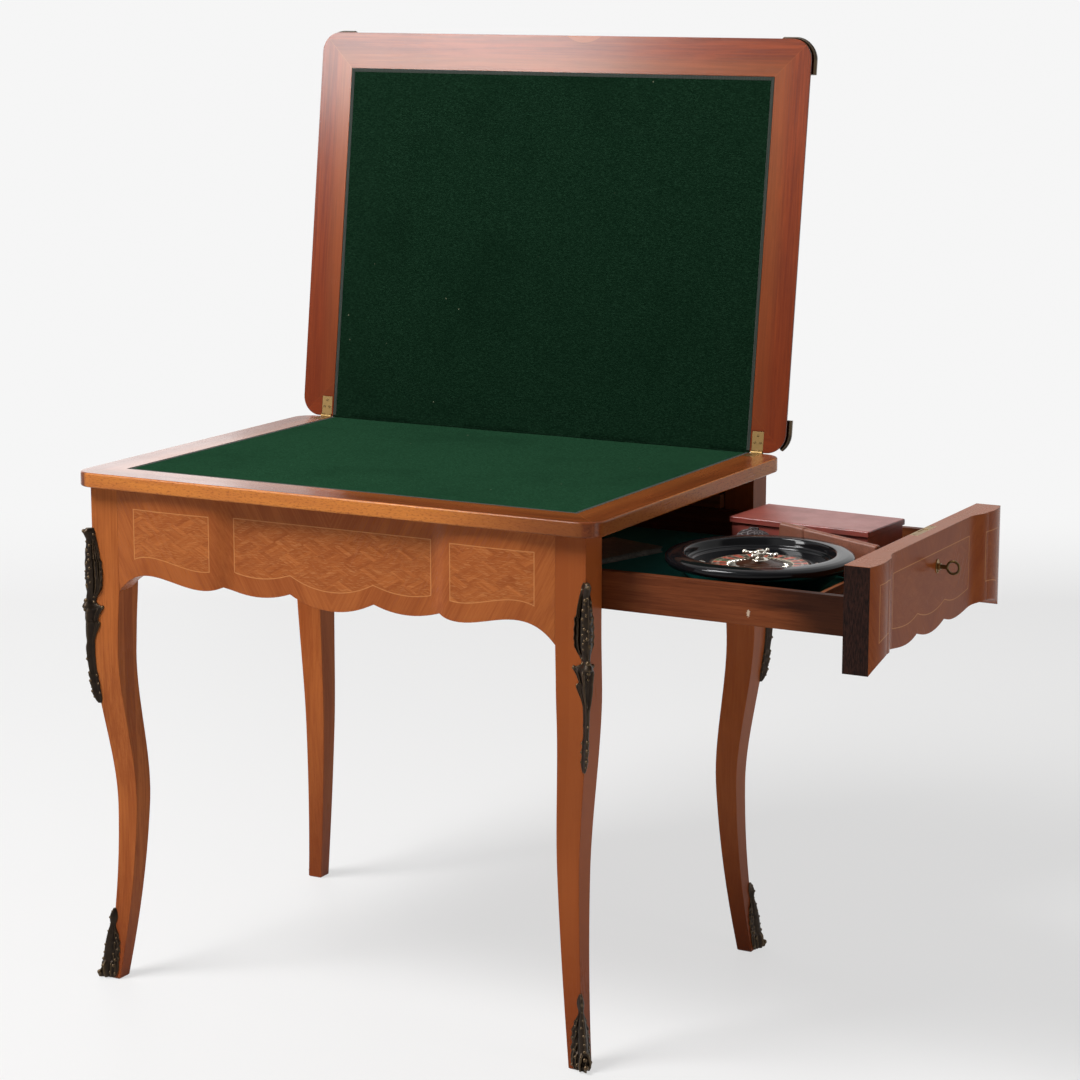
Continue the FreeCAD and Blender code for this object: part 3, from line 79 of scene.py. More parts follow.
RING_MIDDLE, MARK_RADIUS = 0.0538, 0.0560
POCKET_DEPTH = 0.004
CASE_TURN, CASE_TILT, PAD_TURN = (math.radians(angle) for angle in (-14.5, 3.6, -17.5))
RELIEF_SEAT = 0.0003
CARD_POWER = 100.0


# Sizes and colours that a user would change

def colour(name, description, value):
    return bpy.props.FloatVectorProperty(
        name=name, description=description, default=value, size=3, subtype="COLOR", min=0.0, max=1.0
    )


def number(name, description, value, **settings):
    return bpy.props.FloatProperty(name=name, description=description, default=value, **settings)


def length(name, description, value):
    return number(name, description, value, unit="LENGTH", min=0.0)


def share(name, description, value):
    return number(name, description, value, subtype="FACTOR", min=0.0, max=1.0)


class GamesTableWood(bpy.types.PropertyGroup):
    """Colours and gloss of the veneers and the plain wood"""

    light: colour("Light veneer", "Light tone of the frame's veneer", (0.47, 0.140, 0.033))
    dark: colour("Dark veneer", "Dark streaks of the frame's veneer", (0.29, 0.070, 0.016))
    leaf_light: colour("Light leaf wood", "Light tone of the leaf's redder border", (0.28, 0.048, 0.009))
    leaf_dark: colour("Dark leaf wood", "Dark streaks of the leaf's border", (0.14, 0.020, 0.004))
    slab_light: colour("Light slab wood", "Light tone of the slab's border", (0.23, 0.054, 0.013))
    slab_dark: colour("Dark slab wood", "Dark streaks of the slab's border", (0.12, 0.027, 0.007))
    drawer_light: colour("Light drawer wood", "Light tone of the drawer's sides", (0.20, 0.056, 0.019))
    drawer_dark: colour("Dark drawer wood", "Dark streaks of the drawer's sides", (0.11, 0.028, 0.010))
    edge: colour("Edge banding", "Tone of the top's edge", (0.62, 0.215, 0.040))
    stringing: colour("Stringing", "Thin inlaid line round the panels", (0.66, 0.30, 0.10))
    inner: colour("Inner wood", "Runners, rails and the drawer's boards", (0.27, 0.085, 0.030))
    # dark end grain of the drawer front; also the colour of the painted shadow on the drawer sides
    end_grain_and_painted_shadow: colour("End grain", "Stained end grain of the drawer front", (0.007, 0.0035, 0.0027))
    roughness: share("Roughness", "Roughness of the polish", 0.30)
    line: length("Stringing width", "Width of the inlaid line", 0.0014)
    band: length("Crossband width", "Width of the band along the scalloped edge", 0.026)


class GamesTableCloth(bpy.types.PropertyGroup):
    """Colours and sizes of the baize, its tape, the lining and the pouch"""

    baize: colour("Baize", "Green wool cloth", (0.0098, 0.040, 0.0187))
    tape: colour("Tape", "Woven tape round the baize", (0.020, 0.024, 0.020))
    lining: colour("Lining", "Teal felt in the drawer", (0.013, 0.185, 0.155))
    pouch: colour("Pouch", "Printed cotton of the pouch", (0.050, 0.036, 0.036))
    tape_width: length("Tape width", "Width of the woven tape", 0.0052)


class GamesTableMetal(bpy.types.PropertyGroup):
    """Colours of the metals"""

    bronze: colour("Bronze", "Dark patina of the mounts", (0.021, 0.0125, 0.0070))
    bronze_worn: colour("Worn bronze", "Rubbed ridges of the mounts", (0.098, 0.062, 0.029))
    brass: colour("Brass", "Aged brass of the hinges, the lock and the key", (0.24, 0.150, 0.055))
    nickel: colour("Nickel", "Turret and frets of the wheel", (0.70, 0.66, 0.58))
    iron: colour("Iron", "Oiled iron of the pivot", (0.10, 0.095, 0.09))


class GamesTableContents(bpy.types.PropertyGroup):
    """Colours of the things in the drawer"""

    bowl: colour("Bowl", "Black lacquer of the roulette bowl", (0.006, 0.006, 0.007))
    red: colour("Red pockets", "Red of the number ring", (0.62, 0.045, 0.014))
    box: colour("Box", "Red covered board of the box", (0.23, 0.026, 0.017))
    leather: colour("Leather", "Leather of the flat case", (0.30, 0.095, 0.048))
    pad: colour("Pad", "Worn cover of the score pad", (0.40, 0.36, 0.29))
    pockets: bpy.props.IntProperty(name="Pockets", description="Number of pockets in the wheel", default=37, min=2)


class GamesTableStage(bpy.types.PropertyGroup):
    """Floor, lights and camera"""

    floor: colour("Floor", "Pale studio floor", (0.74, 0.732, 0.727))
    back: colour("Background", "Bright studio background", (0.92, 0.92, 0.92))
    key_power: number("Key", "Power of the key light", 265.0, subtype="POWER")
    fill_power: number("Fill", "Power of the fill light", 18.0, subtype="POWER")
    side_power: number("Side", "Power of the light behind on the left", 34.0, subtype="POWER")
    ambient: share("Ambient", "Strength of the surrounding light", 0.11)
    lens: number("Lens", "Focal length", 97.8, unit="CAMERA")
    camera_place: bpy.props.FloatVectorProperty(
        name="Camera", description="Place of the camera",
        default=(2.099, -3.575, 1.462), subtype="TRANSLATION", unit="LENGTH",
    )
    camera_turn: bpy.props.FloatVectorProperty(
        name="Camera turn", description="Rotation of the camera",
        default=(math.radians(78.75), 0.0, math.radians(28.31)), subtype="EULER", unit="ROTATION",
    )


# Surfaces: a shape is (points, quads, triangles)

def grid(points, wrap_rows=False, wrap_columns=False, cap_start=False, cap_end=False):
    """Shape on a grid of points[row, column]: quads join neighbours, a wrapped axis joins its last line to its
    first, and a cap is a fan from the mean of the first or last row."""
    rows, columns = points.shape[:2]
    index = np.arange(rows * columns).reshape(rows, columns)
    flat = points.reshape(-1, 3)
    first, last = index[0], index[-1]
    if wrap_columns:
        index = np.concatenate([index, index[:, :1]], axis=1)
    if wrap_rows:
        index = np.concatenate([index, index[:1]], axis=0)
    quads = np.stack([index[:-1, :-1], index[:-1, 1:], index[1:, 1:], index[1:, :-1]], axis=-1).reshape(-1, 4)
    triangles = np.zeros((0, 3), int)
    for wanted, ring in ((cap_start, first), (cap_end, last[::-1])):
        if wanted:
            middle = np.full(columns, len(flat))
            flat = np.concatenate([flat, flat[ring].mean(axis=0, keepdims=True)])
            triangles = np.concatenate([triangles, np.stack([middle, np.roll(ring, -1), ring], axis=-1)])
    return flat, quads, triangles


def tube(points):
    """Shape on rows that are closed rings, with a fan over both ends."""
    return grid(points, wrap_columns=True, cap_start=True, cap_end=True)


def round_turn(count):
    """Angles that part a whole turn evenly."""
    return np.linspace(0, 2 * np.pi, count, endpoint=False)


def polar(radius, angle, height):
    """Points from a radius, an angle and a height."""
    return np.stack([radius * np.cos(angle), radius * np.sin(angle), height + 0 * angle], axis=-1)


def ramp(value, start, end):
    """Straight 0 to 1 as a value goes from start to end."""
    return np.clip((value - start) / (end - start), 0, 1)


def hump(value, middle, width):
    """Bell curve of height 1: e to the minus square of the distance from the middle over the width."""
    return np.exp(-((value - middle) / width) ** 2)


def scaled(tone, factor, lift=0.0):
    """A colour made darker or lighter."""
    return tuple(min(1.0, channel * factor + lift) for channel in tone)


def together(*shapes):
    """One shape from several, with the indices of each moved past the points before it."""
    starts = np.cumsum([0] + [len(shape[0]) for shape in shapes[:-1]])
    points = np.concatenate([shape[0] for shape in shapes])
    quads = np.concatenate([shape[1] + start for shape, start in zip(shapes, starts)])
    triangles = np.concatenate([shape[2] + start for shape, start in zip(shapes, starts)])
    return points, quads, triangles


def repeated(shape, places, turns=0.0, sizes=1.0):
    """Copies of a shape, each turned about Z by its angle, scaled by its size and moved to its place."""
    points, quads, triangles = shape
    places = np.asarray(places, float)
    turns, sizes = (np.broadcast_to(row, len(places))[:, None] for row in (turns, sizes))
    c, s = np.cos(turns), np.sin(turns)
    x, y, z = points.T
    copies = np.stack([x * c - y * s, x * s + y * c, z + 0 * c], axis=-1) * sizes[..., None] + places[:, None, :]
    shift = np.arange(len(places))[:, None, None] * len(points)
    return copies.reshape(-1, 3), (quads + shift).reshape(-1, 4), (triangles + shift).reshape(-1, 3)


def moved(shape, matrix):
    """The shape carried by a 4x4 matrix."""
    m = np.array(matrix)
    return shape[0] @ m[:3, :3].T + m[:3, 3], shape[1], shape[2]


def eased(corners, radius, steps=5):
    """Polyline with each inner corner replaced by a quadratic curve that starts and ends at most a radius away,
    and at most halfway along the two runs that meet there."""
    p = np.asarray(corners, float)
    back, ahead = p[:-2] - p[1:-1], p[2:] - p[1:-1]
    size_back, size_ahead = (np.linalg.norm(v, axis=1, keepdims=True) for v in (back, ahead))
    start = p[1:-1] + back * np.minimum(0.5, radius / size_back)
    end = p[1:-1] + ahead * np.minimum(0.5, radius / size_ahead)
    t = np.linspace(0, 1, steps)[None, :, None]
    curve = (1 - t) ** 2 * start[:, None] + 2 * t * (1 - t) * p[1:-1][:, None] + t ** 2 * end[:, None]
    return np.concatenate([p[:1], curve.reshape(-1, p.shape[1]), p[-1:]])


def lathe(profile, segments, swell=None):
    """Profile of (radius, height) turned about Z; swell multiplies the radius by a function of angle and height.
    The profile starts and ends on or near the axis, where fans close it."""
    angle = round_turn(segments)[None, :]
    radius, height = profile[:, :1], profile[:, 1:]
    if swell is not None:
        radius = radius * swell(angle, height)
    return tube(polar(np.maximum(radius, 1e-5), angle, height))


def rounded_ring(half_x, half_y, radius, count):
    """Closed outline of a rectangle with round corners: four quarter circles joined by straight runs."""
    angle = np.linspace(0, np.pi / 2, count)
    turn = np.arange(4)[:, None] * np.pi / 2 + angle[None, :]
    sign = np.array([(1, 1), (-1, 1), (-1, -1), (1, -1)], float)[:, None, :]
    middle = sign * np.array([half_x - radius, half_y - radius])
    arc = np.stack([np.cos(turn), np.sin(turn)], axis=-1) * radius
    return (middle + arc).reshape(-1, 2)


def plate(half_x, half_y, radius, levels, count=7):
    """Rounded rectangle carried up through levels of (height, inset), closed by fans."""
    rings = [rounded_ring(half_x - inset, half_y - inset, max(radius - inset, 1e-4), count) for _, inset in levels]
    heights = np.array([height for height, _ in levels])
    outline = np.stack(rings)
    level = np.broadcast_to(heights[:, None, None], outline.shape[:2] + (1,))
    return tube(np.concatenate([outline, level], axis=-1))


def cloth_sheet(lo, hi, columns, rows, lift):
    """Thin sheet between two corners: its upper and lower faces are grids that meet in one line at the edge, and
    the upper one rises and falls a little by crossed sine waves."""
    wide, deep = hi[0] - lo[0], hi[1] - lo[1]
    lines = []
    for rim, count in ((0.0005 / wide, columns), (0.0005 / deep, rows)):
        lines.append(np.concatenate([[0, rim / 3], np.linspace(rim, 1 - rim, count), [1 - rim / 3, 1]]))
    u, v = lines[0][:, None], lines[1][None, :]
    x = lo[0] + wide * u + 0 * v
    y = lo[1] + deep * v + 0 * u
    edge = np.minimum(np.minimum(u, 1 - u) * wide, np.minimum(v, 1 - v) * deep)
    body = np.clip(edge / 0.0004, 0, 1) ** 0.5
    wave = np.sin(7 * np.pi * u + 2 * v) * np.sin(5 * np.pi * v + 3 * u)
    middle = (lo[2] + hi[2]) / 2
    top = middle + body * (hi[2] - middle) - lift * body * (0.5 + 0.5 * wave)
    bottom = middle - body * (middle - lo[2])
    upper = np.stack([x, y, top], axis=-1)
    lower = np.stack([x, y, bottom], axis=-1)
    return grid(np.concatenate([upper, lower[:, ::-1]], axis=1), wrap_columns=True)


def ribbon(path, width, thickness, rise):
    """Flat tape carried along a path in a level plane: a lens-shaped section, mitred at each bend."""
    path = np.asarray(path, float)
    step = np.diff(path, axis=0)
    step /= np.linalg.norm(step, axis=1, keepdims=True)
    side = np.stack([-step[:, 1], step[:, 0]], axis=-1)
    before = np.concatenate([side[:1], side])
    after = np.concatenate([side, side[-1:]])
    mitre = before + after
    mitre /= (mitre * before).sum(axis=1, keepdims=True)
    turn = round_turn(16)
    across = np.cos(turn) * width / 2
    up = np.sign(np.sin(turn)) * np.abs(np.sin(turn)) ** 0.5 * thickness / 2
    level = path[:, None, :] + mitre[:, None, :] * across[None, :, None]
    height = rise + np.broadcast_to(up, level.shape[:2])
    return tube(np.concatenate([level, height[..., None]], axis=-1))


def fold_piping(left, right):
    """Thin roll of cloth along the fold: a circle round the fold's axis, a little uneven, carried along X."""
    x = np.linspace(left, right, 160)[:, None]
    turn = round_turn(12)[None, :]
    radius = 0.00136 + 0.00004 * np.sin(310 * x) * np.cos(2 * turn + 90 * x)
    points = np.stack([x + 0 * turn, FOLD_Y + radius * np.cos(turn), FOLD_Z + radius * np.sin(turn)], axis=-1)
    return tube(points)


def screw_head(radius):
    """Countersunk head seen from above: a low dome on a polar grid with a slot pressed across it."""
    r = np.concatenate([np.linspace(0.02, 1, 9) * radius, [radius, radius * 0.6]])[:, None]
    angle = round_turn(40)[None, :]
    ring = np.arange(len(r))[:, None]
    dome = 0.00022 * (1 - (r / radius) ** 2)
    slot = 0.0004 * (np.abs(r * np.sin(angle)) < 0.16 * radius)
    return tube(polar(r, angle, np.where(ring < 9, dome - slot, np.where(ring == 9, -0.0004, -0.0009))))


def linked(name, data):
    """New object of the scene that shows the data."""
    thing = bpy.data.objects.new(name, data)
    bpy.context.scene.collection.objects.link(thing)
    return thing


def mesh_of(name, shape, material):
    """Mesh of a shape with one material."""
    mesh = bpy.data.meshes.new(name)
    mesh.from_pydata(shape[0].tolist(), [], shape[1].tolist() + shape[2].tolist())
    mesh.materials.append(material)
    return mesh


def make_piece(name, shape, material, body, replaces=(), sharp=40.0):
    """Mesh object from a shape: doubles merged, faces outward, smooth except over sharp edges, riding on a body."""
    mesh = mesh_of(name, shape, material)
    bm = bmesh.new()
    bm.from_mesh(mesh)
    bmesh.ops.remove_doubles(bm, verts=bm.verts, dist=2e-6)
    bmesh.ops.dissolve_degenerate(bm, edges=bm.edges, dist=1e-7)
    bmesh.ops.recalc_face_normals(bm, faces=bm.faces)
    bm.to_mesh(mesh)
    bm.free()
    mesh.polygons.foreach_set("use_smooth", np.ones(len(mesh.polygons), bool))
    mesh.set_sharp_from_angle(angle=math.radians(sharp))
    piece = linked(name, mesh)
    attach(piece, body)
    if replaces:
        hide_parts(*replaces)
    return piece


def dress(material, *names):
    """Give a material to CAD nodes that are shown as they are."""
    for name in names:
        node = NODES[name]
        node.data.materials.clear()
        node.data.materials.append(material)


def node_points(name):
    """Points of a CAD node at rest as one array."""
    mesh = NODES[name].data
    points = np.empty(len(mesh.vertices) * 3)
    mesh.vertices.foreach_get("co", points)
    return points.reshape(-1, 3)


def seat(name):
    """Middle of the lower face of a node's box."""
    lo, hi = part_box(name)
    return (lo[0] + hi[0]) / 2, (lo[1] + hi[1]) / 2, lo[2]


def turned_box(name, matrix):
    """Lowest and highest corner of a node in the axes of a turned frame."""
    points = node_points(name) @ np.array(matrix.to_3x3())
    return points.min(axis=0), points.max(axis=0)


# Materials

class Signal:
    """A node's output that is added, multiplied and so on like a number."""

    __array_ufunc__ = None

    def __init__(self, nodes, socket):
        self.nodes, self.socket = nodes, socket

    def __add__(self, other):
        return self.nodes.math("ADD", self, other)

    def __sub__(self, other):
        return self.nodes.math("SUBTRACT", self, other)

    def __rsub__(self, other):
        return self.nodes.math("SUBTRACT", other, self)

    def __mul__(self, other):
        return self.nodes.math("MULTIPLY", self, other)

    def __truediv__(self, other):
        return self.nodes.math("DIVIDE", self, other)

    def __abs__(self):
        return self.nodes.math("ABSOLUTE", self)


class Nodes:
    """Writer for a node tree; a value is a number, a colour or a signal, and None leaves a socket as it is."""

    def __init__(self, tree):
        self.tree = tree
        tree.nodes.clear()

    def feed(self, socket, value):
        if isinstance(value, Signal):
            value = value.socket
        if isinstance(value, bpy.types.NodeSocket):
            self.tree.links.new(value, socket)
        elif socket.type == "RGBA":
            socket.default_value = (*value[:3], 1.0)
        else:
            socket.default_value = value

    def add(self, kind, *values, **settings):
        node = self.tree.nodes.new("ShaderNode" + kind)
        for name, value in settings.items():
            setattr(node, name, value)
        for socket, value in zip(node.inputs, values):
            if value is not None:
                self.feed(socket, value)
        return node

    def out(self, kind, *values, output=0, **settings):
        return Signal(self, self.add(kind, *values, **settings).outputs[output])

    def place(self):
        return self.out("TexCoord", output="Object")

    def mapped(self, vector, location=(0, 0, 0), rotation=(0, 0, 0), scale=(1, 1, 1)):
        return self.out("Mapping", vector, location, rotation, scale)

    def split(self, vector):
        return [Signal(self, socket) for socket in self.add("SeparateXYZ", vector).outputs]

    def join(self, x, y, z):
        return self.out("CombineXYZ", x, y, z)

    def length(self, vector):
        return self.out("VectorMath", vector, operation="LENGTH", output="Value")

    def math(self, operation, *values, clamp=False):
        return self.out("Math", *values, operation=operation, use_clamp=clamp)

    def range(self, value, low, high, to_low, to_high):
        """Straight run from one value to another as the input goes from low to high."""
        return self.out("MapRange", value, low, high, to_low, to_high)

    def step(self, value, low, high):
        """Smooth 0 to 1 as a value goes from low to high."""
        return self.out("MapRange", value, low, high, 0.0, 1.0, interpolation_type="SMOOTHSTEP")

    def noise(self, vector, scale, detail=4.0, roughness=0.55, distortion=0.0):
        return self.out("TexNoise", vector, None, scale, detail, roughness, None, None, None, distortion)

    def spots(self, vector, scale):
        return self.out("TexVoronoi", vector, None, scale)

    def chance(self, vector):
        """One random number for each whole-number cell of a vector."""
        return self.out("TexWhiteNoise", self.out("VectorMath", vector, operation="FLOOR"), noise_dimensions="3D")

    def mix(self, factor, a, b, blend="MIX"):
        unused = [None] * 5
        return self.out(
            "Mix", factor, *unused, a, b, output=2, data_type="RGBA", blend_type=blend, clamp_factor=True
        )

    def mix_value(self, factor, a, b):
        return self.out("Mix", factor, None, a, b, data_type="FLOAT", clamp_factor=True)

    def bump(self, height, strength, distance, normal=None):
        node = self.add("Bump", strength, distance)
        self.feed(node.inputs["Height"], height)
        if normal is not None:
            self.feed(node.inputs["Normal"], normal)
        return node.outputs[0]

    def soft_edges(self, radius):
        return self.out("Bevel", radius, samples=4)


class Finish(Nodes):
    """Node material round a Principled shader, whose sockets are set by name."""

    def __init__(self, name, **sockets):
        self.material = bpy.data.materials.new(name)
        self.material.use_nodes = True
        super().__init__(self.material.node_tree)
        self.shader = self.add("BsdfPrincipled")
        self.output = self.add("OutputMaterial", self.shader.outputs[0])
        self.set(**sockets)

    def set(self, **sockets):
        for name, value in sockets.items():
            self.feed(self.shader.inputs[name.replace("_", " ")], value)


def wood_grain(f, vector):
    """Figure, streaks and pores of wood whose grain runs along the vector's first axis, each from 0 to 1."""
    figure = f.noise(f.mapped(vector, scale=(2.2, 24.0, 24.0)), 1.0, 5.0, 0.62, 0.5)
    streaks = f.noise(f.mapped(vector, scale=(8.0, 330.0, 330.0)), 1.0, 5.0, 0.6, 0.25)
    pores = f.noise(f.mapped(vector, scale=(45.0, 1500.0, 1500.0)), 1.0, 2.0, 0.5, 0.0)
    return figure, streaks, pores


def wood_tone(f, grain, light, dark):
    """Colour of the wood: figure and streaks run from the light to the dark tone, and pores are darker still."""
    figure, streaks, pores = grain
    tone = figure * 0.55 + streaks * 0.45
    base = f.mix(f.step(tone, 0.36, 0.64), light, dark)
    return f.mix(f.step(pores, 0.58, 0.72) * 0.35, base, dark, "MULTIPLY")


def finish_wood(f, tone, grain, roughness, edge=0.0012, gloss=0.10, coat=0.04):
    """French polish: gloss that varies a little with the figure, pores just felt, edges slightly rounded."""
    _, streaks, pores = grain
    smudge = f.noise(f.place(), 9.0, 3.0)
    rough = smudge * 0.16 + streaks * 0.08
    f.set(
        Base_Color=tone, Roughness=f.math("ADD", rough, roughness - 0.12, clamp=True), Specular_IOR_Level=gloss,
        Coat_Weight=coat, Coat_Roughness=0.16, Normal=f.bump(pores, 0.1, 0.0003, f.soft_edges(edge))
    )
    return f.material


def plain_wood(name, light, dark, rotation, roughness, edge=0.0012):
    """Wood whose grain runs along X after the given rotation of its coordinates."""
    f = Finish(name)
    grain = wood_grain(f, f.mapped(f.place(), rotation=rotation))
    return finish_wood(f, wood_tone(f, grain, light, dark), grain, roughness, edge)


ALONG_Y = (0.0, 0.0, math.pi / 2)
ALONG_X = (0.0, 0.0, 0.0)


def drawer_side_wood(wood):
    """Plain board with lengthwise grain, darkened towards the front as painted shadow, with one small pale chip in
    its face.
    """
    f = Finish("drawer_side_wood")
    place = f.place()
    x = f.split(place)[0]
    grain = wood_grain(f, place)
    tone = wood_tone(f, grain, wood.drawer_light, wood.drawer_dark)
    reach = x + (grain[0] - 0.5) * 0.16
    # painted shadow: the board darkens towards the drawer front, in the dark end grain colour
    stain_and_painted_shadow = f.step(reach, 0.6, 0.69) * 0.8
    tone = f.mix(stain_and_painted_shadow, tone, wood.end_grain_and_painted_shadow)
    chip = f.mapped(place, location=(-0.602 * 260, 0.2365 * 60, -0.641 * 140), scale=(260.0, 60.0, 140.0))
    torn = f.noise(f.mapped(place, scale=(300.0, 60.0, 700.0)), 1.0, 3.0) * 1.8
    ragged = f.length(chip) + torn
    tone = f.mix(f.step(ragged, 1.50, 1.35), tone, (0.55, 0.42, 0.30))
    return finish_wood(f, tone, grain, 0.42, 0.0012, 0.06, 0.0)


def leg_wood(wood, corner, shade):
    """Upright veneer in strips: each strip of the leg's face has its own tone and its own piece of figure; shade
    is how far this leg leans to the dark tone: its own veneer, and on the back right leg painted shade."""
    f = Finish("leg_veneer_" + corner)
    x, y, z = f.split(f.place())
    across = x + y
    strip = f.math("FLOOR", across * 48.0)
    shift = strip * 0.37
    grain = wood_grain(f, f.join(z + shift, x, y + shift))
    tone = wood_tone(f, grain, wood.light, wood.dark)
    kind = f.out("TexWhiteNoise", None, strip, noise_dimensions="1D")
    # shade darkens the whole leg: the leg's own tone, and on the back right leg painted shade
    tone = f.mix(f.math("MULTIPLY_ADD", kind, 0.22, shade), tone, wood.dark)
    worn = f.step(z + grain[0] * 0.05, 0.3, 0.02)
    tone = f.mix(worn * 0.62, tone, wood.leaf_dark)
    return finish_wood(f, tone, grain, wood.roughness, 0.0016, 0.07, 0.03)


def lower_edge(name, axis, level):
    """Height of a scalloped board's lower edge, as (distance from the middle, height), from its points under a
    level."""
    points = node_points(name)
    u = np.abs(points[:, axis])
    low = points[:, 2] < level
    spacing = 0.0005
    bins = np.round(u[low] / spacing).astype(int)
    order = np.argsort(bins, kind="stable")
    keys, first = np.unique(bins[order], return_index=True)
    heights = np.minimum.reduceat(points[low][order][:, 2], first)
    return keys * spacing, heights


def edge_curve(f, u, outline):
    """Float curve that gives the lower edge's height for a distance from the board's middle."""
    reach, heights = outline
    low, high = heights.min(), heights.max()
    node = f.add("FloatCurve")
    curve = node.mapping.curves[0]
    picks = np.linspace(0, reach[-1], 64)
    values = (np.interp(picks, reach, heights) - low) / (high - low)
    while len(curve.points) < len(picks):
        curve.points.new(0.5, 0.5)
    for point, a, b in zip(curve.points, picks / reach[-1], values):
        point.location = (a, b)
        point.handle_type = "VECTOR"
    node.mapping.update()
    f.feed(node.inputs["Factor"], 1.0)
    f.feed(node.inputs["Value"], f.math("DIVIDE", u, float(reach[-1]), clamp=True))
    return Signal(f, node.outputs[0]) * float(high - low) + float(low)


def parquetry(f, u, z, wood):
    """Basket of lozenges: cells of two slanted coordinates, each cell cut in four strips along one slant or the
    other by turns, each strip with its own tone and its grain along it."""
    p = u * LOZENGES_ALONG + z * LOZENGES_UP
    q = u * LOZENGES_ALONG - z * LOZENGES_UP
    parity = f.math("PINGPONG", f.math("FLOOR", p) + f.math("FLOOR", q), 1.0)
    across = f.mix_value(parity, p, q) * 4.0
    chance = f.chance(f.join(p, q, across))
    strip = f.join(u, z, chance * 3.0)
    tones, fibres = [], []
    for side in (1, -1):
        grain = wood_grain(f, f.mapped(strip, rotation=(0.0, 0.0, 0.5 * side)))
        tones.append(wood_tone(f, grain, wood.light, wood.dark))
        slanted = f.mapped(strip, rotation=(0.0, 0.0, 0.7 * side), scale=(55.0, 900.0, 40.0))
        fibres.append(f.noise(slanted, 1.0, 3.0, 0.6))
    fibre = f.step(f.mix_value(parity, *fibres), 0.50, 0.66)
    tone = f.mix(fibre * 0.4, f.mix(parity, *tones), wood.stringing)
    shade = parity * 0.12 + chance * 0.34
    tone = f.mix(shade, tone, wood.dark)
    joint = f.math("MINIMUM", f.math("PINGPONG", p, 0.5), f.math("PINGPONG", q, 0.5))
    joint = f.math("MINIMUM", joint, f.math("PINGPONG", across, 0.5) * 0.5)
    return f.mix((1.0 - f.step(joint, 0.0, 0.04)) * 0.2, tone, wood.dark)


def apron_wood(name, wood, node, axis, top, middle, sides, gloss, ends=None, plain=0.0):
    """Veneer of a scalloped board: parquetry in panels with a thin pale line round them, and crossbanding with
    its grain slanted across the edge; ends is where the drawer front's dark end grain starts, and plain how far
    its figure is even and red."""
    f = Finish(name)
    place = f.place()
    axes = f.split(place)
    z = axes[2]
    along = axes[axis]
    u = abs(along)
    rise = z - edge_curve(f, u, lower_edge(node, axis, EDGE_LEVEL[node]))
    inner, outer = sides
    inside = f.math("MAXIMUM", middle - u, f.math("MINIMUM", u - inner, outer - u))
    depth = f.math("MINIMUM", rise - wood.band, top - z)
    depth = f.math("MINIMUM", depth, inside)
    slant = f.math("MULTIPLY_ADD", u, 0.55, z)
    grain = wood_grain(f, f.join(slant, f.math("MULTIPLY_ADD", z, -0.55, u), axes[1 - axis]))
    band = f.mix(0.35, wood_tone(f, grain, wood.light, wood.dark), wood.dark)
    tone = f.mix(f.step(depth, 0.0, 0.0003), band, f.mix(plain, parquetry(f, along, z, wood), band))
    tone = f.mix(1.1 * plain, tone, wood.leaf_dark)
    line = f.step(depth, -0.0002, 0.0001) * (1.0 - f.step(depth, wood.line - 0.0003, wood.line))
    tone = f.mix(line * 0.55, tone, wood.stringing)
    if ends is not None:
        rings = f.noise(f.mapped(place, scale=(640.0, 1.0, 130.0)), 1.0, 4.0)
        end = f.mix(f.step(rings, 0.30, 0.70), wood.end_grain_and_painted_shadow, (0.034, 0.0125, 0.0085))
        tone = f.mix(f.step(u, ends - 0.0002, ends), tone, end)
        board = wood_grain(f, f.join(along, axes[0], z))
        over = f.step(z, top + 0.0253, top + 0.0257)
        tone = f.mix(over, tone, wood_tone(f, board, wood.inner, wood.dark))
        back = f.mix(f.step(rings, 0.4, 0.7), wood.inner, wood.dark)
        behind = f.step(axes[0], DRAWER_FRONT_BACK + 0.0002, DRAWER_FRONT_BACK - 0.0002)
        tone = f.mix(behind * f.math("LESS_THAN", u, ends), tone, back)
    return finish_wood(f, tone, grain, wood.roughness - 0.04, 0.0014, *gloss)


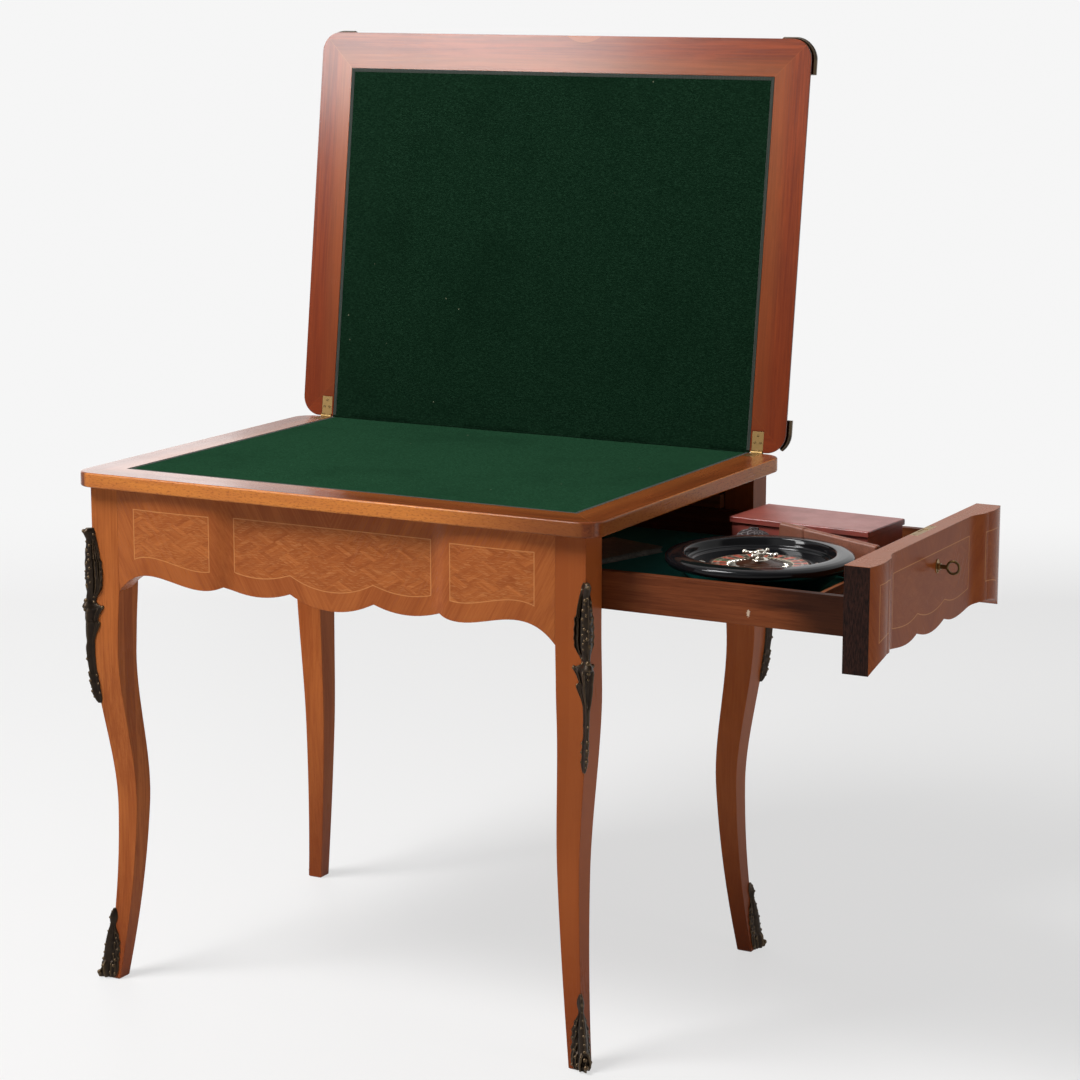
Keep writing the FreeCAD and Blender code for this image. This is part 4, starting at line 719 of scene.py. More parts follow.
def border_wood(name, wood, light, dark, gloss, shut=None, edge=None):
    """Border of the top: grain along each edge and mitred at the corners; shut turns the leaf's coordinates back
    to where it lies closed, and edge is the tone of the slab's outer edge. The leaf has a quartered field with a
    pale line round it on its other face, and a small let-in piece at its far edge."""
    f = Finish(name)
    place = f.place()
    if shut is not None:
        place = f.mapped(place, location=shut[0], rotation=shut[1])
    x, y, z = f.split(place)
    from_side = TOP_HALF[0] - abs(x)
    from_front = TOP_HALF[1] - abs(y)
    on_side = f.step(from_front - from_side, -0.0002, 0.0002)
    along = f.mix_value(on_side, x, y)
    across = f.mix_value(on_side, y, x)
    shift = f.math("SIGN", across) * 0.7
    grain = wood_grain(f, f.join(along + shift, across, z))
    tone = wood_tone(f, grain, light, dark)
    mitre = abs(from_front - from_side)
    rim = f.math("MINIMUM", from_side, from_front)
    sunned = f.step(rim + grain[0] * 0.02, 0.03, 0.055) * 0.4
    tone = f.mix(sunned, tone, scaled(wood.light, 0.62))
    tone = f.mix((1.0 - f.step(mitre, 0.0, 0.0005)) * 0.4, tone, wood.light)
    if edge is None:
        # painted shade: the upright leaf's border darker towards its lower edge by the fold
        tone = f.mix(f.step(y, -0.1, 0.28) * 0.55, tone, dark)
        wide, deep = abs(x), abs(y)
        one = f.math("MULTIPLY_ADD", wide, 0.75, deep * 0.65)
        two = f.math("MULTIPLY_ADD", wide, -0.65, deep * 0.75)
        quartered = wood_tone(f, wood_grain(f, f.join(one, two, z)), wood.leaf_light, wood.leaf_dark)
        tone = f.mix(f.step(rim, FIELD_INSET, FIELD_INSET + 0.0002), tone, f.mix(0.4, quartered, wood.dark))
        line = f.step(abs(rim - FIELD_INSET), 0.0009, 0.0006)
        tone = f.mix(line * 0.5, tone, wood.stringing)
        patch = f.length(f.join(x - 0.045, y + 0.3385, 0.0))
        tone = f.mix(f.step(patch, 0.0494, 0.0489) * 0.3, tone, wood.light)
        tone = f.mix(f.step(abs(patch - 0.0492), 0.0006, 0.0002) * 0.8, tone, dark)
    else:
        worn = f.step(rim + grain[0] * 0.0015, 0.0036, 0.0012)
        edge_band_tone = f.mix(f.step(grain[0], 0.35, 0.75), edge, wood.light)
        flecks = f.noise(f.mapped(f.join(along, across, z), scale=(150.0, 520.0, 520.0)), 1.0, 3.0, 0.7)
        edge_band_tone = f.mix(f.step(flecks, 0.5, 0.66) * 0.7, edge_band_tone, wood.dark)
        # darker towards the right front corner
        edge_band_tone = f.mix(f.step(x - y, 0.42, 0.7) * 0.8, edge_band_tone, dark)
        tone = f.mix(worn, tone, edge_band_tone)
    return finish_wood(f, tone, grain, wood.roughness - 0.05, 0.0018, *gloss)


def baize_finish(cloth, name, shade):
    """Napped wool: mottled green with fibres lying every way, soft sheen, a faint worn cast."""
    f = Finish(name, Sheen_Weight=0.02, Sheen_Roughness=0.45, Sheen_Tint=(0.35, 0.75, 0.50), Specular_IOR_Level=0.0)
    place = f.place()
    nap = f.noise(place, 1300.0, 3.0, 0.6)
    fibres = f.noise(f.mapped(place, rotation=(0.4, 0.3, 0.7), scale=(260.0, 1500.0, 900.0)), 1.0, 3.0, 0.6, 1.2)
    patches = f.noise(place, 7.0, 4.0, 0.6)
    # painted shade: a shade below 1 gives a darker copy of the same cloth
    base = scaled(cloth.baize, shade)
    pale, dark = scaled(base, 1.9, 0.004), scaled(base, 0.55)
    tone = f.mix(f.step(fibres, 0.42, 0.70), f.mix(f.step(nap, 0.35, 0.65), dark, base), pale)
    tone = f.mix(f.step(patches, 0.45, 0.75) * 0.35, tone, dark)
    lint = f.step(f.spots(place, 34.0), 0.045, 0.030)
    tone = f.mix(lint * f.step(patches, 0.5, 0.6), tone, (0.16, 0.17, 0.11))
    height = nap + fibres
    f.set(Base_Color=tone, Roughness=0.95, Normal=f.bump(height, 0.45, 0.0006))
    return f.material


def woven_finish(name, base, pale, scale, sheen=0.2):
    """Close plain weave: crossed threads as two sine bands that pass over and under by turns."""
    f = Finish(name, Sheen_Weight=sheen, Sheen_Roughness=0.4, Specular_IOR_Level=0.1)
    place = f.place()
    x, y, z = f.split(place)
    warp = f.math("SINE", (x + z) * scale)
    weft = f.math("SINE", (y - z) * scale)
    over = warp * weft
    dirt = f.noise(place, 60.0, 4.0)
    tone = f.mix(f.step(over, -0.6, 0.8), base, pale)
    tone = f.mix(dirt * 0.5, tone, base)
    f.set(Base_Color=tone, Roughness=0.85, Normal=f.bump(over, 0.4, 0.0003))
    return f.material


def metal_finish(name, base, worn, roughness, metallic=1.0, patina=0.5, edge=0.0004):
    """Cast or rolled metal: a dull skin in patches, rubbed bright where the surface stands out."""
    f = Finish(name, Metallic=metallic)
    place = f.place()
    cloud = f.noise(place, 85.0, 6.0, 0.65)
    pits = f.noise(place, 900.0, 3.0)
    raised = f.step(f.out("NewGeometry", output="Pointiness"), 0.50, 0.58)
    tone = f.mix(f.step(cloud, 0.4, 0.72) * patina, base, scaled(base, 0.4))
    tone = f.mix(raised * 0.8, tone, worn)
    rough = f.math("ADD", cloud * 0.25, roughness - 0.12, clamp=True)
    f.set(Base_Color=tone, Roughness=rough, Normal=f.bump(pits + cloud, 0.15, 0.0003, f.soft_edges(edge)))
    return f.material


def lacquer_finish(name, base, roughness):
    """Black lacquer: deep gloss with dust, faint scratches and finger marks in the roughness."""
    f = Finish(name, Specular_IOR_Level=0.22)
    place = f.place()
    dust = f.noise(place, 2200.0, 2.0)
    marks = f.noise(place, 30.0, 5.0, 0.65, 0.6)
    scratches = f.noise(f.mapped(place, rotation=(0.2, 0.1, 0.9), scale=(20.0, 900.0, 300.0)), 1.0, 2.0)
    tone = f.mix(f.step(dust, 0.70, 0.80), base, scaled(base, 1.0, 0.03))
    rough = marks * 0.1 + f.step(scratches, 0.62, 0.75) * 0.12
    f.set(Base_Color=tone, Roughness=rough + roughness, Normal=f.bump(marks, 0.03, 0.0004))
    return f.material


def board_finish(contents):
    """Red covered board: pressed grain, rubbed paler on edges, dark stains, a few scratches."""
    f = Finish("red_board", Specular_IOR_Level=0.5)
    place = f.place()
    press = f.spots(place, 1100.0)
    stain_and_painted_shadow = f.noise(place, 24.0, 5.0, 0.6)
    scratches = f.noise(f.mapped(place, rotation=(0.0, 0.0, 0.6), scale=(14.0, 500.0, 80.0)), 1.0, 3.0)
    raised = f.step(f.out("NewGeometry", output="Pointiness"), 0.51, 0.56)
    base = contents.box
    tone = f.mix(f.step(stain_and_painted_shadow, 0.42, 0.68), base, scaled(base, 0.45))
    tone = f.mix(f.step(scratches, 0.66, 0.76) * 0.5, tone, (0.3, 0.09, 0.07))
    tone = f.mix(raised * 0.5, tone, (0.34, 0.1, 0.08))
    rough = stain_and_painted_shadow * 0.25 + 0.2
    f.set(Base_Color=tone, Roughness=rough, Normal=f.bump(press, 0.15, 0.0002, f.soft_edges(0.0008)))
    return f.material


def leather_finish(name, base, scale):
    """Grained leather: cells of a Voronoi pattern pressed in, worn paler high spots and creases."""
    f = Finish(name, Specular_IOR_Level=0.45)
    place = f.place()
    cells = f.spots(place, scale)
    wear = f.noise(place, 38.0, 5.0, 0.6)
    tone = f.mix(f.step(wear, 0.45, 0.70), base, scaled(base, 1.9, 0.01))
    tone = f.mix(f.step(cells, 0.2, 0.6) * 0.4, scaled(base, 0.5), tone)
    f.set(Base_Color=tone, Roughness=wear * 0.25 + 0.36, Normal=f.bump(cells + wear * 0.6, 0.3, 0.0004))
    return f.material


def ring_finish(contents, middle):
    """Enamel ring: pockets red and black by turns round the wheel, one green, each with a small pale mark that is
    no figure, and a pale line between them and at both edges."""
    f = Finish("ring_enamel", Coat_Weight=0.3, Coat_Roughness=0.1)
    x, y, _ = f.split(f.mapped(f.place(), location=(-middle[0], -middle[1], 0.0)))
    turn = f.math("ARCTAN2", y, x) / (2 * math.pi) + 0.5
    pocket = turn * float(contents.pockets)
    radius = f.math("SQRT", x * x + y * y)
    red = f.math("PINGPONG", f.math("FLOOR", pocket), 1.0)
    wear = f.noise(f.place(), 300.0, 4.0)
    black = f.mix(wear, (0.008, 0.008, 0.009), (0.02, 0.02, 0.02))
    tone = f.mix(red, black, f.mix(wear, contents.red, scaled(contents.red, 0.6)))
    tone = f.mix(f.math("LESS_THAN", pocket, 1.0), tone, (0.01, 0.11, 0.04))
    divide = f.math("PINGPONG", pocket, 0.5)
    pale = (0.55, 0.48, 0.34)
    tone = f.mix(1.0 - f.step(divide, 0.04, 0.08), tone, pale)
    tone = f.mix(f.step(abs(radius - RING_MIDDLE), 0.0088, 0.0092), tone, pale)
    mark = f.math("LESS_THAN", abs(radius - MARK_RADIUS), 0.0016) * f.math("GREATER_THAN", divide, 0.32)
    tone = f.mix(mark * f.step(f.spots(f.place(), 900.0), 0.25, 0.4), tone, (0.6, 0.56, 0.45))
    f.set(Base_Color=tone, Roughness=wear * 0.2 + 0.2)
    return f.material


def pouch_finish(cloth, middle):
    """Printed cotton: a fine weave with pale crossed lines that follow the folds round and up the bag."""
    f = Finish("pouch_cotton", Sheen_Weight=0.05, Specular_IOR_Level=0.1, Sheen_Roughness=0.5)
    x, y, z = f.split(f.mapped(f.place(), location=(-middle[0], -middle[1], 0.0)))
    turn = f.math("ARCTAN2", y, x) * 12.0
    ring = z * 900.0
    lines = f.math("MAXIMUM", f.math("SINE", turn + ring), f.math("SINE", turn - ring))
    weave = f.noise(f.place(), 1600.0, 2.0)
    base = cloth.pouch
    tone = f.mix(f.step(lines, 0.86, 0.97), f.mix(weave, scaled(base, 0.5), base), (0.20, 0.18, 0.18))
    f.set(Base_Color=tone, Roughness=0.9, Normal=f.bump(weave, 0.3, 0.0003))
    return f.material


# Shapes of this table

def leg_corner(z):
    """Offset of the leg's outer corner from the frame's corner: a parabola from toe to ankle, then two eased
    steps out to the knee and back to the post."""
    ankle, knee, shoulder = 0.3568 * FRAME_TOP, FRAME_TOP - 0.224, FRAME_TOP - 0.129

    def ease(a, b):
        t = ramp(z, a, b)
        return t * t * (3 - 2 * t)

    low = -0.0185 + 0.017 * (1 - np.minimum(z, ankle) / ankle) ** 2
    return low + 0.0215 * ease(ankle, knee) - 0.003 * ease(knee, shoulder)


def beads_at(places, radii):
    """Round beads: one small sphere, a half circle turned about Z, repeated at each place with its own radius."""
    turn = np.linspace(-np.pi / 2, np.pi / 2, 9)
    return repeated(lathe(np.stack([np.cos(turn), np.sin(turn)], axis=-1), 14), places, sizes=radii)


def softened(column):
    """A column of values with its corners softened by a short running mean."""
    padded = np.pad(column[:, 0], 2, mode="edge")
    return np.convolve(padded, (0.1, 0.2, 0.4, 0.2, 0.1), mode="valid")[:, None]


def stations_at(d, stations):
    """Width, side thickness and ridge height in metres at each distance, between rows of stations in mm."""
    stations = np.array(stations).T
    return (softened(np.interp(d, stations[0], row)) * MM for row in stations[1:])


def cast(a, flange, ridge, spread):
    """Plain section of a mount at a share of its width: a round flange with a bell-shaped ridge in the middle."""
    return flange * np.sqrt(np.clip(1 - 0.92 * a * a, 0, 1)) + (1.32 * ridge - flange) * hump(a, 0, spread)


def corner_relief(z, width, lift, beads):
    """Relief that wraps a leg's corner: s runs from -1 on one face over the corner to 1 on the other, the normal
    turns smoothly between the faces, lift is the relief's height and a flat back closes it on the wood; beads are
    rows of (share of the length, s, radius in mm) sunk well into its face."""
    s = np.linspace(-1, 1, lift.shape[1])[None, :]
    turn = np.pi / 4 * (1 - np.tanh(3 * s) / np.tanh(3))
    normal = np.stack([np.cos(turn), np.sin(turn)], axis=-1)
    foot = np.stack([-width * np.maximum(-s, 0), -width * np.maximum(s, 0)], axis=-1)
    corner = leg_corner(z)[..., None]
    level = np.broadcast_to(z[..., None], foot.shape[:2] + (1,))
    front = np.concatenate(
        [foot + corner + normal * (RELIEF_SEAT + np.maximum(lift, RELIEF_SEAT)[..., None]), level], axis=-1
    )
    back = np.concatenate([foot + corner + normal * RELIEF_SEAT, level], axis=-1)
    shell = tube(np.concatenate([front, back[:, ::-1]], axis=1))
    beads = np.array(beads, float)
    rows = np.round(beads[:, 0] * (len(z) - 1)).astype(int)
    columns = np.round((beads[:, 1] + 1) / 2 * (lift.shape[1] - 1)).astype(int)
    radii = beads[:, 2] * MM
    inward = np.concatenate([normal[0, columns], np.zeros((len(beads), 1))], axis=-1) * radii[:, None]
    return together(shell, beads_at(front[rows, columns] - 0.45 * inward, radii))


def pairs(*beads):
    """Beads off the middle line, each also on the other side of it."""
    return [bead for d, s, r in beads for bead in ((d, s, r), (d, -s, r))]


def knee_relief():
    """Knee mount, drawn from stations of (distance down, width, side thickness, ridge height): a curled tip, a bud
    whose middle is a bunch of beads between ribbed leaves with a lobed leaf behind each, a knob at the waist, two
    horns with ball tips, a fluted body with a smaller leaf on each side, a thin stem and a tail of beads."""
    low, high = (corner[2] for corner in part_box("knee_mount_front_left"))
    z = np.linspace(high, low, 300)[:, None]
    d = (high - z) / MM
    a = np.abs(np.linspace(-1, 1, 81))[None, :]
    width, flange, ridge = stations_at(d, [
        (0, 3.2, 2.2, 6.0), (5, 5.8, 3.6, 10.6), (10, 6.6, 3.4, 8.6), (16, 8.0, 3.6, 6.8), (26, 10.2, 4.4, 8.0),
        (36, 12.2, 4.8, 8.8), (44, 13.2, 5.0, 9.2), (46.5, 15.8, 4.6, 9.4), (57, 16.4, 5.0, 9.6),
        (70, 16.8, 5.0, 9.6), (82, 16.4, 4.8, 9.2), (90, 14.0, 4.2, 8.2), (97, 9.4, 3.8, 7.4), (103, 6.0, 3.6, 7.4),
        (108, 6.2, 4.0, 9.6), (111, 12.5, 4.0, 11.0), (113.5, 19.0, 3.8, 11.6), (116.5, 18.0, 4.4, 11.4),
        (121, 14.6, 4.6, 10.2), (128, 12.0, 4.4, 9.4), (133, 9.8, 4.2, 8.8), (136.5, 15.2, 3.8, 8.4),
        (145, 12.2, 3.8, 7.8), (153, 8.2, 3.4, 7.0), (162, 5.2, 3.0, 6.2), (186, 4.0, 2.6, 5.6),
        (190, 4.6, 3.0, 6.2), (194, 3.9, 2.6, 5.4), (208, 3.7, 2.6, 5.0), (214, 5.4, 3.2, 6.4),
        (220, 4.4, 2.8, 5.4), (226, 5.7, 3.4, 6.4), (233, 4.5, 2.8, 5.2), (240, 5.3, 3.2, 6.0),
        (248, 4.3, 2.4, 4.6), (253, 3.2, 1.8, 3.4), (256, 1.6, 1.0, 2.0),
    ])
    bud = ramp(d, 12, 20) * ramp(d, 99, 93)
    outer = ramp(d, 44, 47) * ramp(d, 95, 89)
    body = ramp(d, 114, 119) * ramp(d, 172, 158)
    stem = ramp(d, 156, 176)
    lobes = sum(hump(d, at, wide) for at, wide in ((49, 4.0), (62, 4.5), (74, 4.5), (85, 4.0)))
    width = width * (1 + outer * 0.07 * (lobes - 0.6))
    ridge = ridge * (1 - 0.10 * bud + 0.03 * bud * np.cos(2 * np.pi * d / 17))
    crevice = -0.50 * hump(a, 0.38, 0.055)
    overlap = -0.58 * outer * hump(a, 0.72, 0.055)
    ribs = 0.24 * np.cos(2 * np.pi * (a - 0.47) / 0.19 - 0.035 * (d - 40)) * ramp(a, 0.40, 0.46)
    margin = (0.35 + 0.45 * lobes * outer) * hump(a, 0.93, 0.08)
    flutes = 0.34 * np.cos(5 * np.pi * a + 0.02 * d) - 0.55 * hump(a, 0.62, 0.07) * (d > 134)
    detail = 1 + bud * (crevice + overlap + ribs + margin) + body * flutes + stem * 0.22 * np.cos(3 * np.pi * a)
    plain = cast(a, flange, ridge, 0.30 + 0.10 * bud)
    count = np.arange(28)
    middle = list(zip(20 + 2.5 * count, 0.20 * np.sin(2.4 * count), 2.1 + 0.6 * np.sin(1.3 * count)))
    single = [
        (4, 0, 3.0), (105, 0, 3.8), (118.5, 0, 3.0), (127, 0, 1.9), (190, 0, 2.0), (211, 0, 2.3), (223, 0, 2.6),
        (232, 0, 1.7), (238, 0, 2.3), (247, 0, 1.8),
    ]
    sides = pairs(
        (9, 0.6, 2.0), (100, 0.5, 2.0), (107, 0.6, 2.3), (113.5, 0.95, 2.9), (111.5, 0.75, 1.7), (136, 0.9, 1.6),
        (214, 0.7, 1.9), (227, 0.75, 1.9), (241, 0.7, 1.6)
    )
    beads = np.array(middle + single + sides) / (d[-1, 0], 1, 1)
    return corner_relief(z, width, plain * detail, beads)


def foot_relief():
    """Foot mount, drawn from stations of (height, width, side thickness, ridge height): a scrolled base with round
    bosses, two overlapping leaves with veins and lobed margins, and a narrow beaded tip."""
    low, high = (corner[2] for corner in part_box("foot_mount_front_left"))
    z = np.linspace(low, high, 150)[:, None]
    d = z / MM
    a = np.abs(np.linspace(-1, 1, 61))[None, :]
    width, flange, ridge = stations_at(d, [
        (2, 15.0, 3.2, 6.4), (7, 17.8, 4.6, 8.6), (13, 18.4, 4.8, 8.8), (20, 18.0, 4.4, 8.2), (27, 16.8, 4.0, 7.4),
        (34, 16.2, 3.8, 7.0), (44, 15.6, 3.8, 7.2), (54, 14.4, 3.6, 7.0), (62, 11.6, 3.2, 6.4), (67, 9.6, 3.0, 6.0),
        (72, 7.2, 2.8, 5.4), (77, 4.4, 2.4, 4.4), (81, 3.6, 2.0, 3.8), (85, 5.0, 2.4, 4.6), (91, 6.0, 2.8, 5.4),
        (97, 4.8, 2.2, 4.4), (104, 1.6, 1.0, 2.0),
    ])
    leaf = ramp(d, 22, 28) * ramp(d, 84, 74)
    lobes = sum(hump(d, at, wide) for at, wide in ((31, 3.5), (43, 4.0), (55, 4.0), (66, 3.5)))
    width = width * (1 + leaf * 0.14 * (lobes - 0.5))
    groove = -0.58 * hump(a, 0.40, 0.10)
    veins = 0.30 * np.cos(2 * np.pi * (2.2 * a + d / 17)) * ramp(a, 0.35, 0.55)
    margin = 0.5 * lobes * hump(a, 0.88, 0.14)
    scroll = 0.34 * np.cos(2 * np.pi * 3.4 * a + 0.12 * d) * ramp(d, 28, 22)
    plain = cast(a, flange, ridge, 0.34)
    single = [
        (9, 0, 3.8), (18, 0, 3.4), (29, 0, 2.6), (38, 0, 2.0), (50, 0, 2.3), (60, 0.1, 1.9), (70, 0, 1.8),
        (80, 0, 1.4), (90, 0, 2.2), (99, 0, 1.5),
    ]
    sides = pairs(
        (9, 0.42, 3.0), (19, 0.55, 2.8), (8, 0.85, 2.4), (28, 0.7, 2.4), (36, 0.45, 1.8), (44, 0.8, 1.9),
        (53, 0.5, 1.7), (60, 0.75, 1.6), (68, 0.7, 1.4)
    )
    beads = (np.array(single + sides) - (d[0, 0], 0, 0)) / (d[-1, 0] - d[0, 0], 1, 1)
    return corner_relief(z, width, plain * (1 + leaf * (groove + veins + margin) + scroll), beads)


def at_corner(shape, corner):
    """A mount made for the corner that points to +X +Y, turned and moved to one of the four legs."""
    sx, sy, turn = CORNERS[corner]
    place = Matrix.Translation((sx * POST_X, sy * POST_Y, 0))
    return moved(shape, place @ Matrix.Rotation(math.radians(turn), 4, "Z"))


def opened():
    """Matrix that turns a piece of the shut leaf to its upright place."""
    fold = Matrix.Translation((0, FOLD_Y, FOLD_Z))
    return fold @ Matrix.Rotation(-LEAF_OPENING, 4, "X") @ fold.inverted()


def onto_leaf(shape):
    """A shape made on the slab, mirrored onto the shut leaf and opened with it."""
    flip = Matrix.Translation((0, 0, 2 * FOLD_Z)) @ Matrix.Scale(-1, 4, (0, 0, 1))
    return moved(shape, opened() @ flip)


def shut_mapping():
    """Location and rotation of a Mapping node that turns the upright leaf's coordinates back to shut."""
    back = opened().inverted()
    return tuple(back.to_translation()), tuple(back.to_euler())


def above_bowl(name):
    """Lowest and highest level of a node over the foot of the roulette bowl."""
    lo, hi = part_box(name)
    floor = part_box("roulette_bowl")[0][2]
    return lo[2] - floor, hi[2] - floor


def bowl_shape():
    """Bowl: one profile of foot, flared side, broad rim, steep wall, ledge, track and well, turned about Z."""
    profile = np.array([
        (0, 23.5), (56, 23.5), (62, 0), (70, 0), (78, 4), (96, 20), (112, 34.5), (117, 36), (123.5, 38.5),
        (126, 43), (125.5, 48.5), (122.5, 51.2), (117, 52.8), (109, 53.2), (102.5, 53), (100, 52), (98.6, 48),
        (97.2, 42.2), (94.6, 41.2), (91.6, 41.0), (90.4, 38.8), (80, 37.2), (70, 36.6), (66, 36.2), (66, 29.5),
        (3, 29.5), (3, 37.5), (0, 37.5),
    ]) * MM
    return lathe(eased(profile, 0.0016), 144)


def rotor_shape():
    """Rotor: rim, seat of the number ring, pocket groove and cone, turned round the spindle's bore."""
    base, cone = above_bowl("rotor")
    ring_low, edge = above_bowl("number_ring")
    half = (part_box("rotor")[1][0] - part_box("rotor")[0][0]) / 2
    inner = 0.349 * (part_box("roulette_bowl")[1][0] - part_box("roulette_bowl")[0][0]) / 2
    bore, groove, lip = 0.00305, 0.032, 0.002
    profile = np.array([
        (bore, base), (half, base), (half, edge), (half - lip, edge), (half - lip, ring_low), (inner, ring_low),
        (inner, edge - POCKET_DEPTH), (groove, edge - POCKET_DEPTH), (groove, edge), (0.022, edge + 0.0020),
        (0.012, cone), (bore, cone),
    ])
    ring = eased(np.concatenate([profile, profile[:1]]), 0.0004, 4)
    return grid(polar(ring[:, :1], round_turn(120)[None, :], ring[:, 1:]), wrap_columns=True)


def fret_shapes(count):
    """Thin upright frets that part the pockets: one bar, a gabled section carried outwards, repeated round."""
    low = above_bowl("number_ring")[1] - POCKET_DEPTH
    along = np.array([0.0323, 0.0335, 0.0425, 0.0437])[:, None]
    rise = np.array([0.0, 0.0010, 0.0010, 0.0])[:, None]
    across, up = np.array([(-0.0004, 0), (-0.0004, 1), (0, 1.12), (0.0004, 1), (0.0004, 0)]).T[:, None, :]
    height = low + 0.0001 + (POCKET_DEPTH - 0.0012 + rise) * up
    bar = tube(np.stack([along + 0 * across, across + 0 * along, height], axis=-1))
    turns = (np.arange(count) + 0.5) * 2 * np.pi / count
    return repeated(bar, np.zeros((count, 3)), turns)


def turret_shape():
    """Turret: a turned post with a knob, and a cross of tapering arms with ball ends turned about their length."""
    base = above_bowl("turret")[0]
    post = np.array([
        (0, 0), (11.5, 0), (11, 1.2), (7.6, 2.4), (5.4, 4.0), (5.0, 5.2), (6.4, 6.8), (7.2, 8.6), (6.4, 10.0),
        (3.8, 10.9), (5.0, 11.9), (5.4, 13.0), (3.8, 14.1), (0, 14.5),
    ]) * MM
    post_height = post[-1, 1]
    post = lathe(eased(post, 0.0006, 4) + (0, base), 48)
    turn = np.pi * (0.16 + 0.84 * np.linspace(0, 1, 15))
    ball = np.stack([3.1 * np.sin(turn), 22.7 - 3.1 * np.cos(turn)], axis=-1)
    arm = [
        (0, 3.0), (3.0, 3.0), (2.9, 6.5), (2.2, 8.4), (1.5, 9.6), (2.0, 10.8), (1.5, 12.0), (1.4, 15.0),
        (2.1, 17.6), (1.5, 18.8),
    ]
    arm = lathe(np.concatenate([arm, ball]) * MM, 20)
    arm = moved(arm, Matrix.Translation((0, 0, base + 0.62 * post_height)) @ Matrix.Rotation(math.pi / 2, 4, "Y"))
    return together(post, repeated(arm, np.zeros((4, 3)), np.arange(4) * np.pi / 2))


def deflector_shapes():
    """Deflectors: a long pointed lens, a turned spindle pressed flat, laid on the track at the CAD's two places."""
    points = node_points("deflectors") - seat("roulette_bowl")
    angle = np.arctan2(points[:, 1], points[:, 0])
    along = np.linspace(-1, 1, 25)
    outline = np.stack([np.clip(1 - along ** 2, 0, 1) ** 0.7 * 0.0042, along * 0.0085], axis=-1)
    lens = moved(lathe(outline, 28), Matrix.Rotation(math.pi / 2, 4, "X"))
    lens = moved(lens, Matrix.Diagonal((1.0, 1.0, 0.75, 1.0)))
    turns = np.array([angle[np.abs(angle) < 1.0].mean(), angle[angle < -1.0].mean()])
    return repeated(lens, polar(0.077, turns, 0.0384), turns + 0.5)


def pouch_shape():
    """Slumped drawstring bag: a full belly rounded over to a small tied neck, wider one way than the other;
    folds deepen towards the neck."""
    lo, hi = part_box("counter_pouch")
    r, h = (hi[0] - lo[0]) / 2, hi[2] - lo[2] + 0.006
    outline = np.array([
        (0, 0.004), (0.5, 0.0), (0.80, 0.02), (0.93, 0.12), (0.95, 0.32), (0.93, 0.52), (0.88, 0.68), (0.74, 0.82),
        (0.50, 0.92), (0.26, 0.95), (0.20, 0.97), (0.26, 1.0), (0.16, 0.99), (0, 0.96),
    ]) * (r, h)

    def swell(angle, height):
        t = np.clip(height / h, 0, 1)
        folds = 0.5 * np.cos(9 * angle + 3 * t) + 0.3 * np.cos(14 * angle + 1.0) + 0.2 * np.cos(4 * angle)
        depth = 0.02 + 0.09 * ramp(t, 0.45, 0.85)
        return 1 + depth * folds * ramp(t, 0, 0.08) * ramp(t, 1.02, 0.97)

    bag = lathe(eased(outline, 0.005, 7), 120, swell)
    turn = round_turn(14)
    radius, height = 0.215 * r + 0.0009 * np.cos(turn), 0.965 * h + 0.0009 * np.sin(turn)
    angle = round_turn(48)[None, :]
    cord = polar(radius[:, None], angle, height[:, None] + 0.0004 * np.sin(2 * angle))
    bag = together(bag, grid(cord, wrap_rows=True, wrap_columns=True))
    x, y, z = seat("counter_pouch")
    return moved(bag, Matrix.Translation((x - 0.008, y, z)) @ Matrix.Diagonal((1.45, 1.0, 1.0, 1.0)))


def case_shape():
    """Flat leather case: a rounded section carried along its length, slightly swollen in the middle, its ends drawn
    in, with a wider cap over one end and a raised seam at the cap's mouth."""
    turn = Matrix.Rotation(CASE_TURN, 4, "Z") @ Matrix.Rotation(CASE_TILT, 4, "Y")
    lo, hi = turned_box("leather_case", turn)
    middle = (lo + hi) / 2
    half_y, half_z = (hi[1:] - lo[1:]) / 2 - 0.0006

    def sleeve(x0, x1, grow):
        t = np.linspace(0, 1, 36)
        x = x0 + (x1 - x0) * (0.5 - 0.5 * np.cos(np.pi * t))
        ends = np.minimum(x - x0, x1 - x)
        inset = 0.0016 * ramp(ends, 0.0022, 0) ** 2
        swell = 0.0005 * np.sin(np.pi * t) * np.cos(9 * t)
        rings = np.stack([
            rounded_ring(half_y + grow - i + s, half_z + grow - i, 0.0032, 8) for i, s in zip(inset, swell)
        ])
        along = np.broadcast_to(x[:, None, None], rings.shape[:2] + (1,))
        return tube(np.concatenate([along, rings + middle[1:]], axis=-1))

    split = lo[0] + 0.042
    cap = sleeve(lo[0], split, 0.0006)
    body = sleeve(split - 0.004, hi[0], 0.0)
    strap = sleeve(split - 0.0012, split + 0.0016, 0.0009)
    return moved(together(cap, body, strap), turn)


def pad_shape():
    """Score pad: two thin covers with round corners over and under a block of leaves, every other leaf set in."""
    turn = Matrix.Rotation(PAD_TURN, 4, "Z")
    lo, hi = turned_box("score_pad", turn)
    middle, half = (lo + hi) / 2, (hi - lo) / 2
    deep = hi[2] - lo[2]
    board = 0.0013
    cover = plate(half[0], half[1], 0.004, [(0, 0.0004), (0.0003, 0), (0.0010, 0), (board, 0.0004)])
    sheets = [(board + (deep - 2 * board) * (i + 1) / 9, 0.0003 * (i % 2)) for i in range(8)]
    leaves = plate(half[0] - 0.002, half[1] - 0.002, 0.002, [(board, 0), *sheets, (deep - board, 0)])
    upper = moved(cover, Matrix.Translation((0, 0, deep - board)))
    return moved(together(cover, leaves, upper), turn @ Matrix.Translation((middle[0], middle[1], lo[2])))


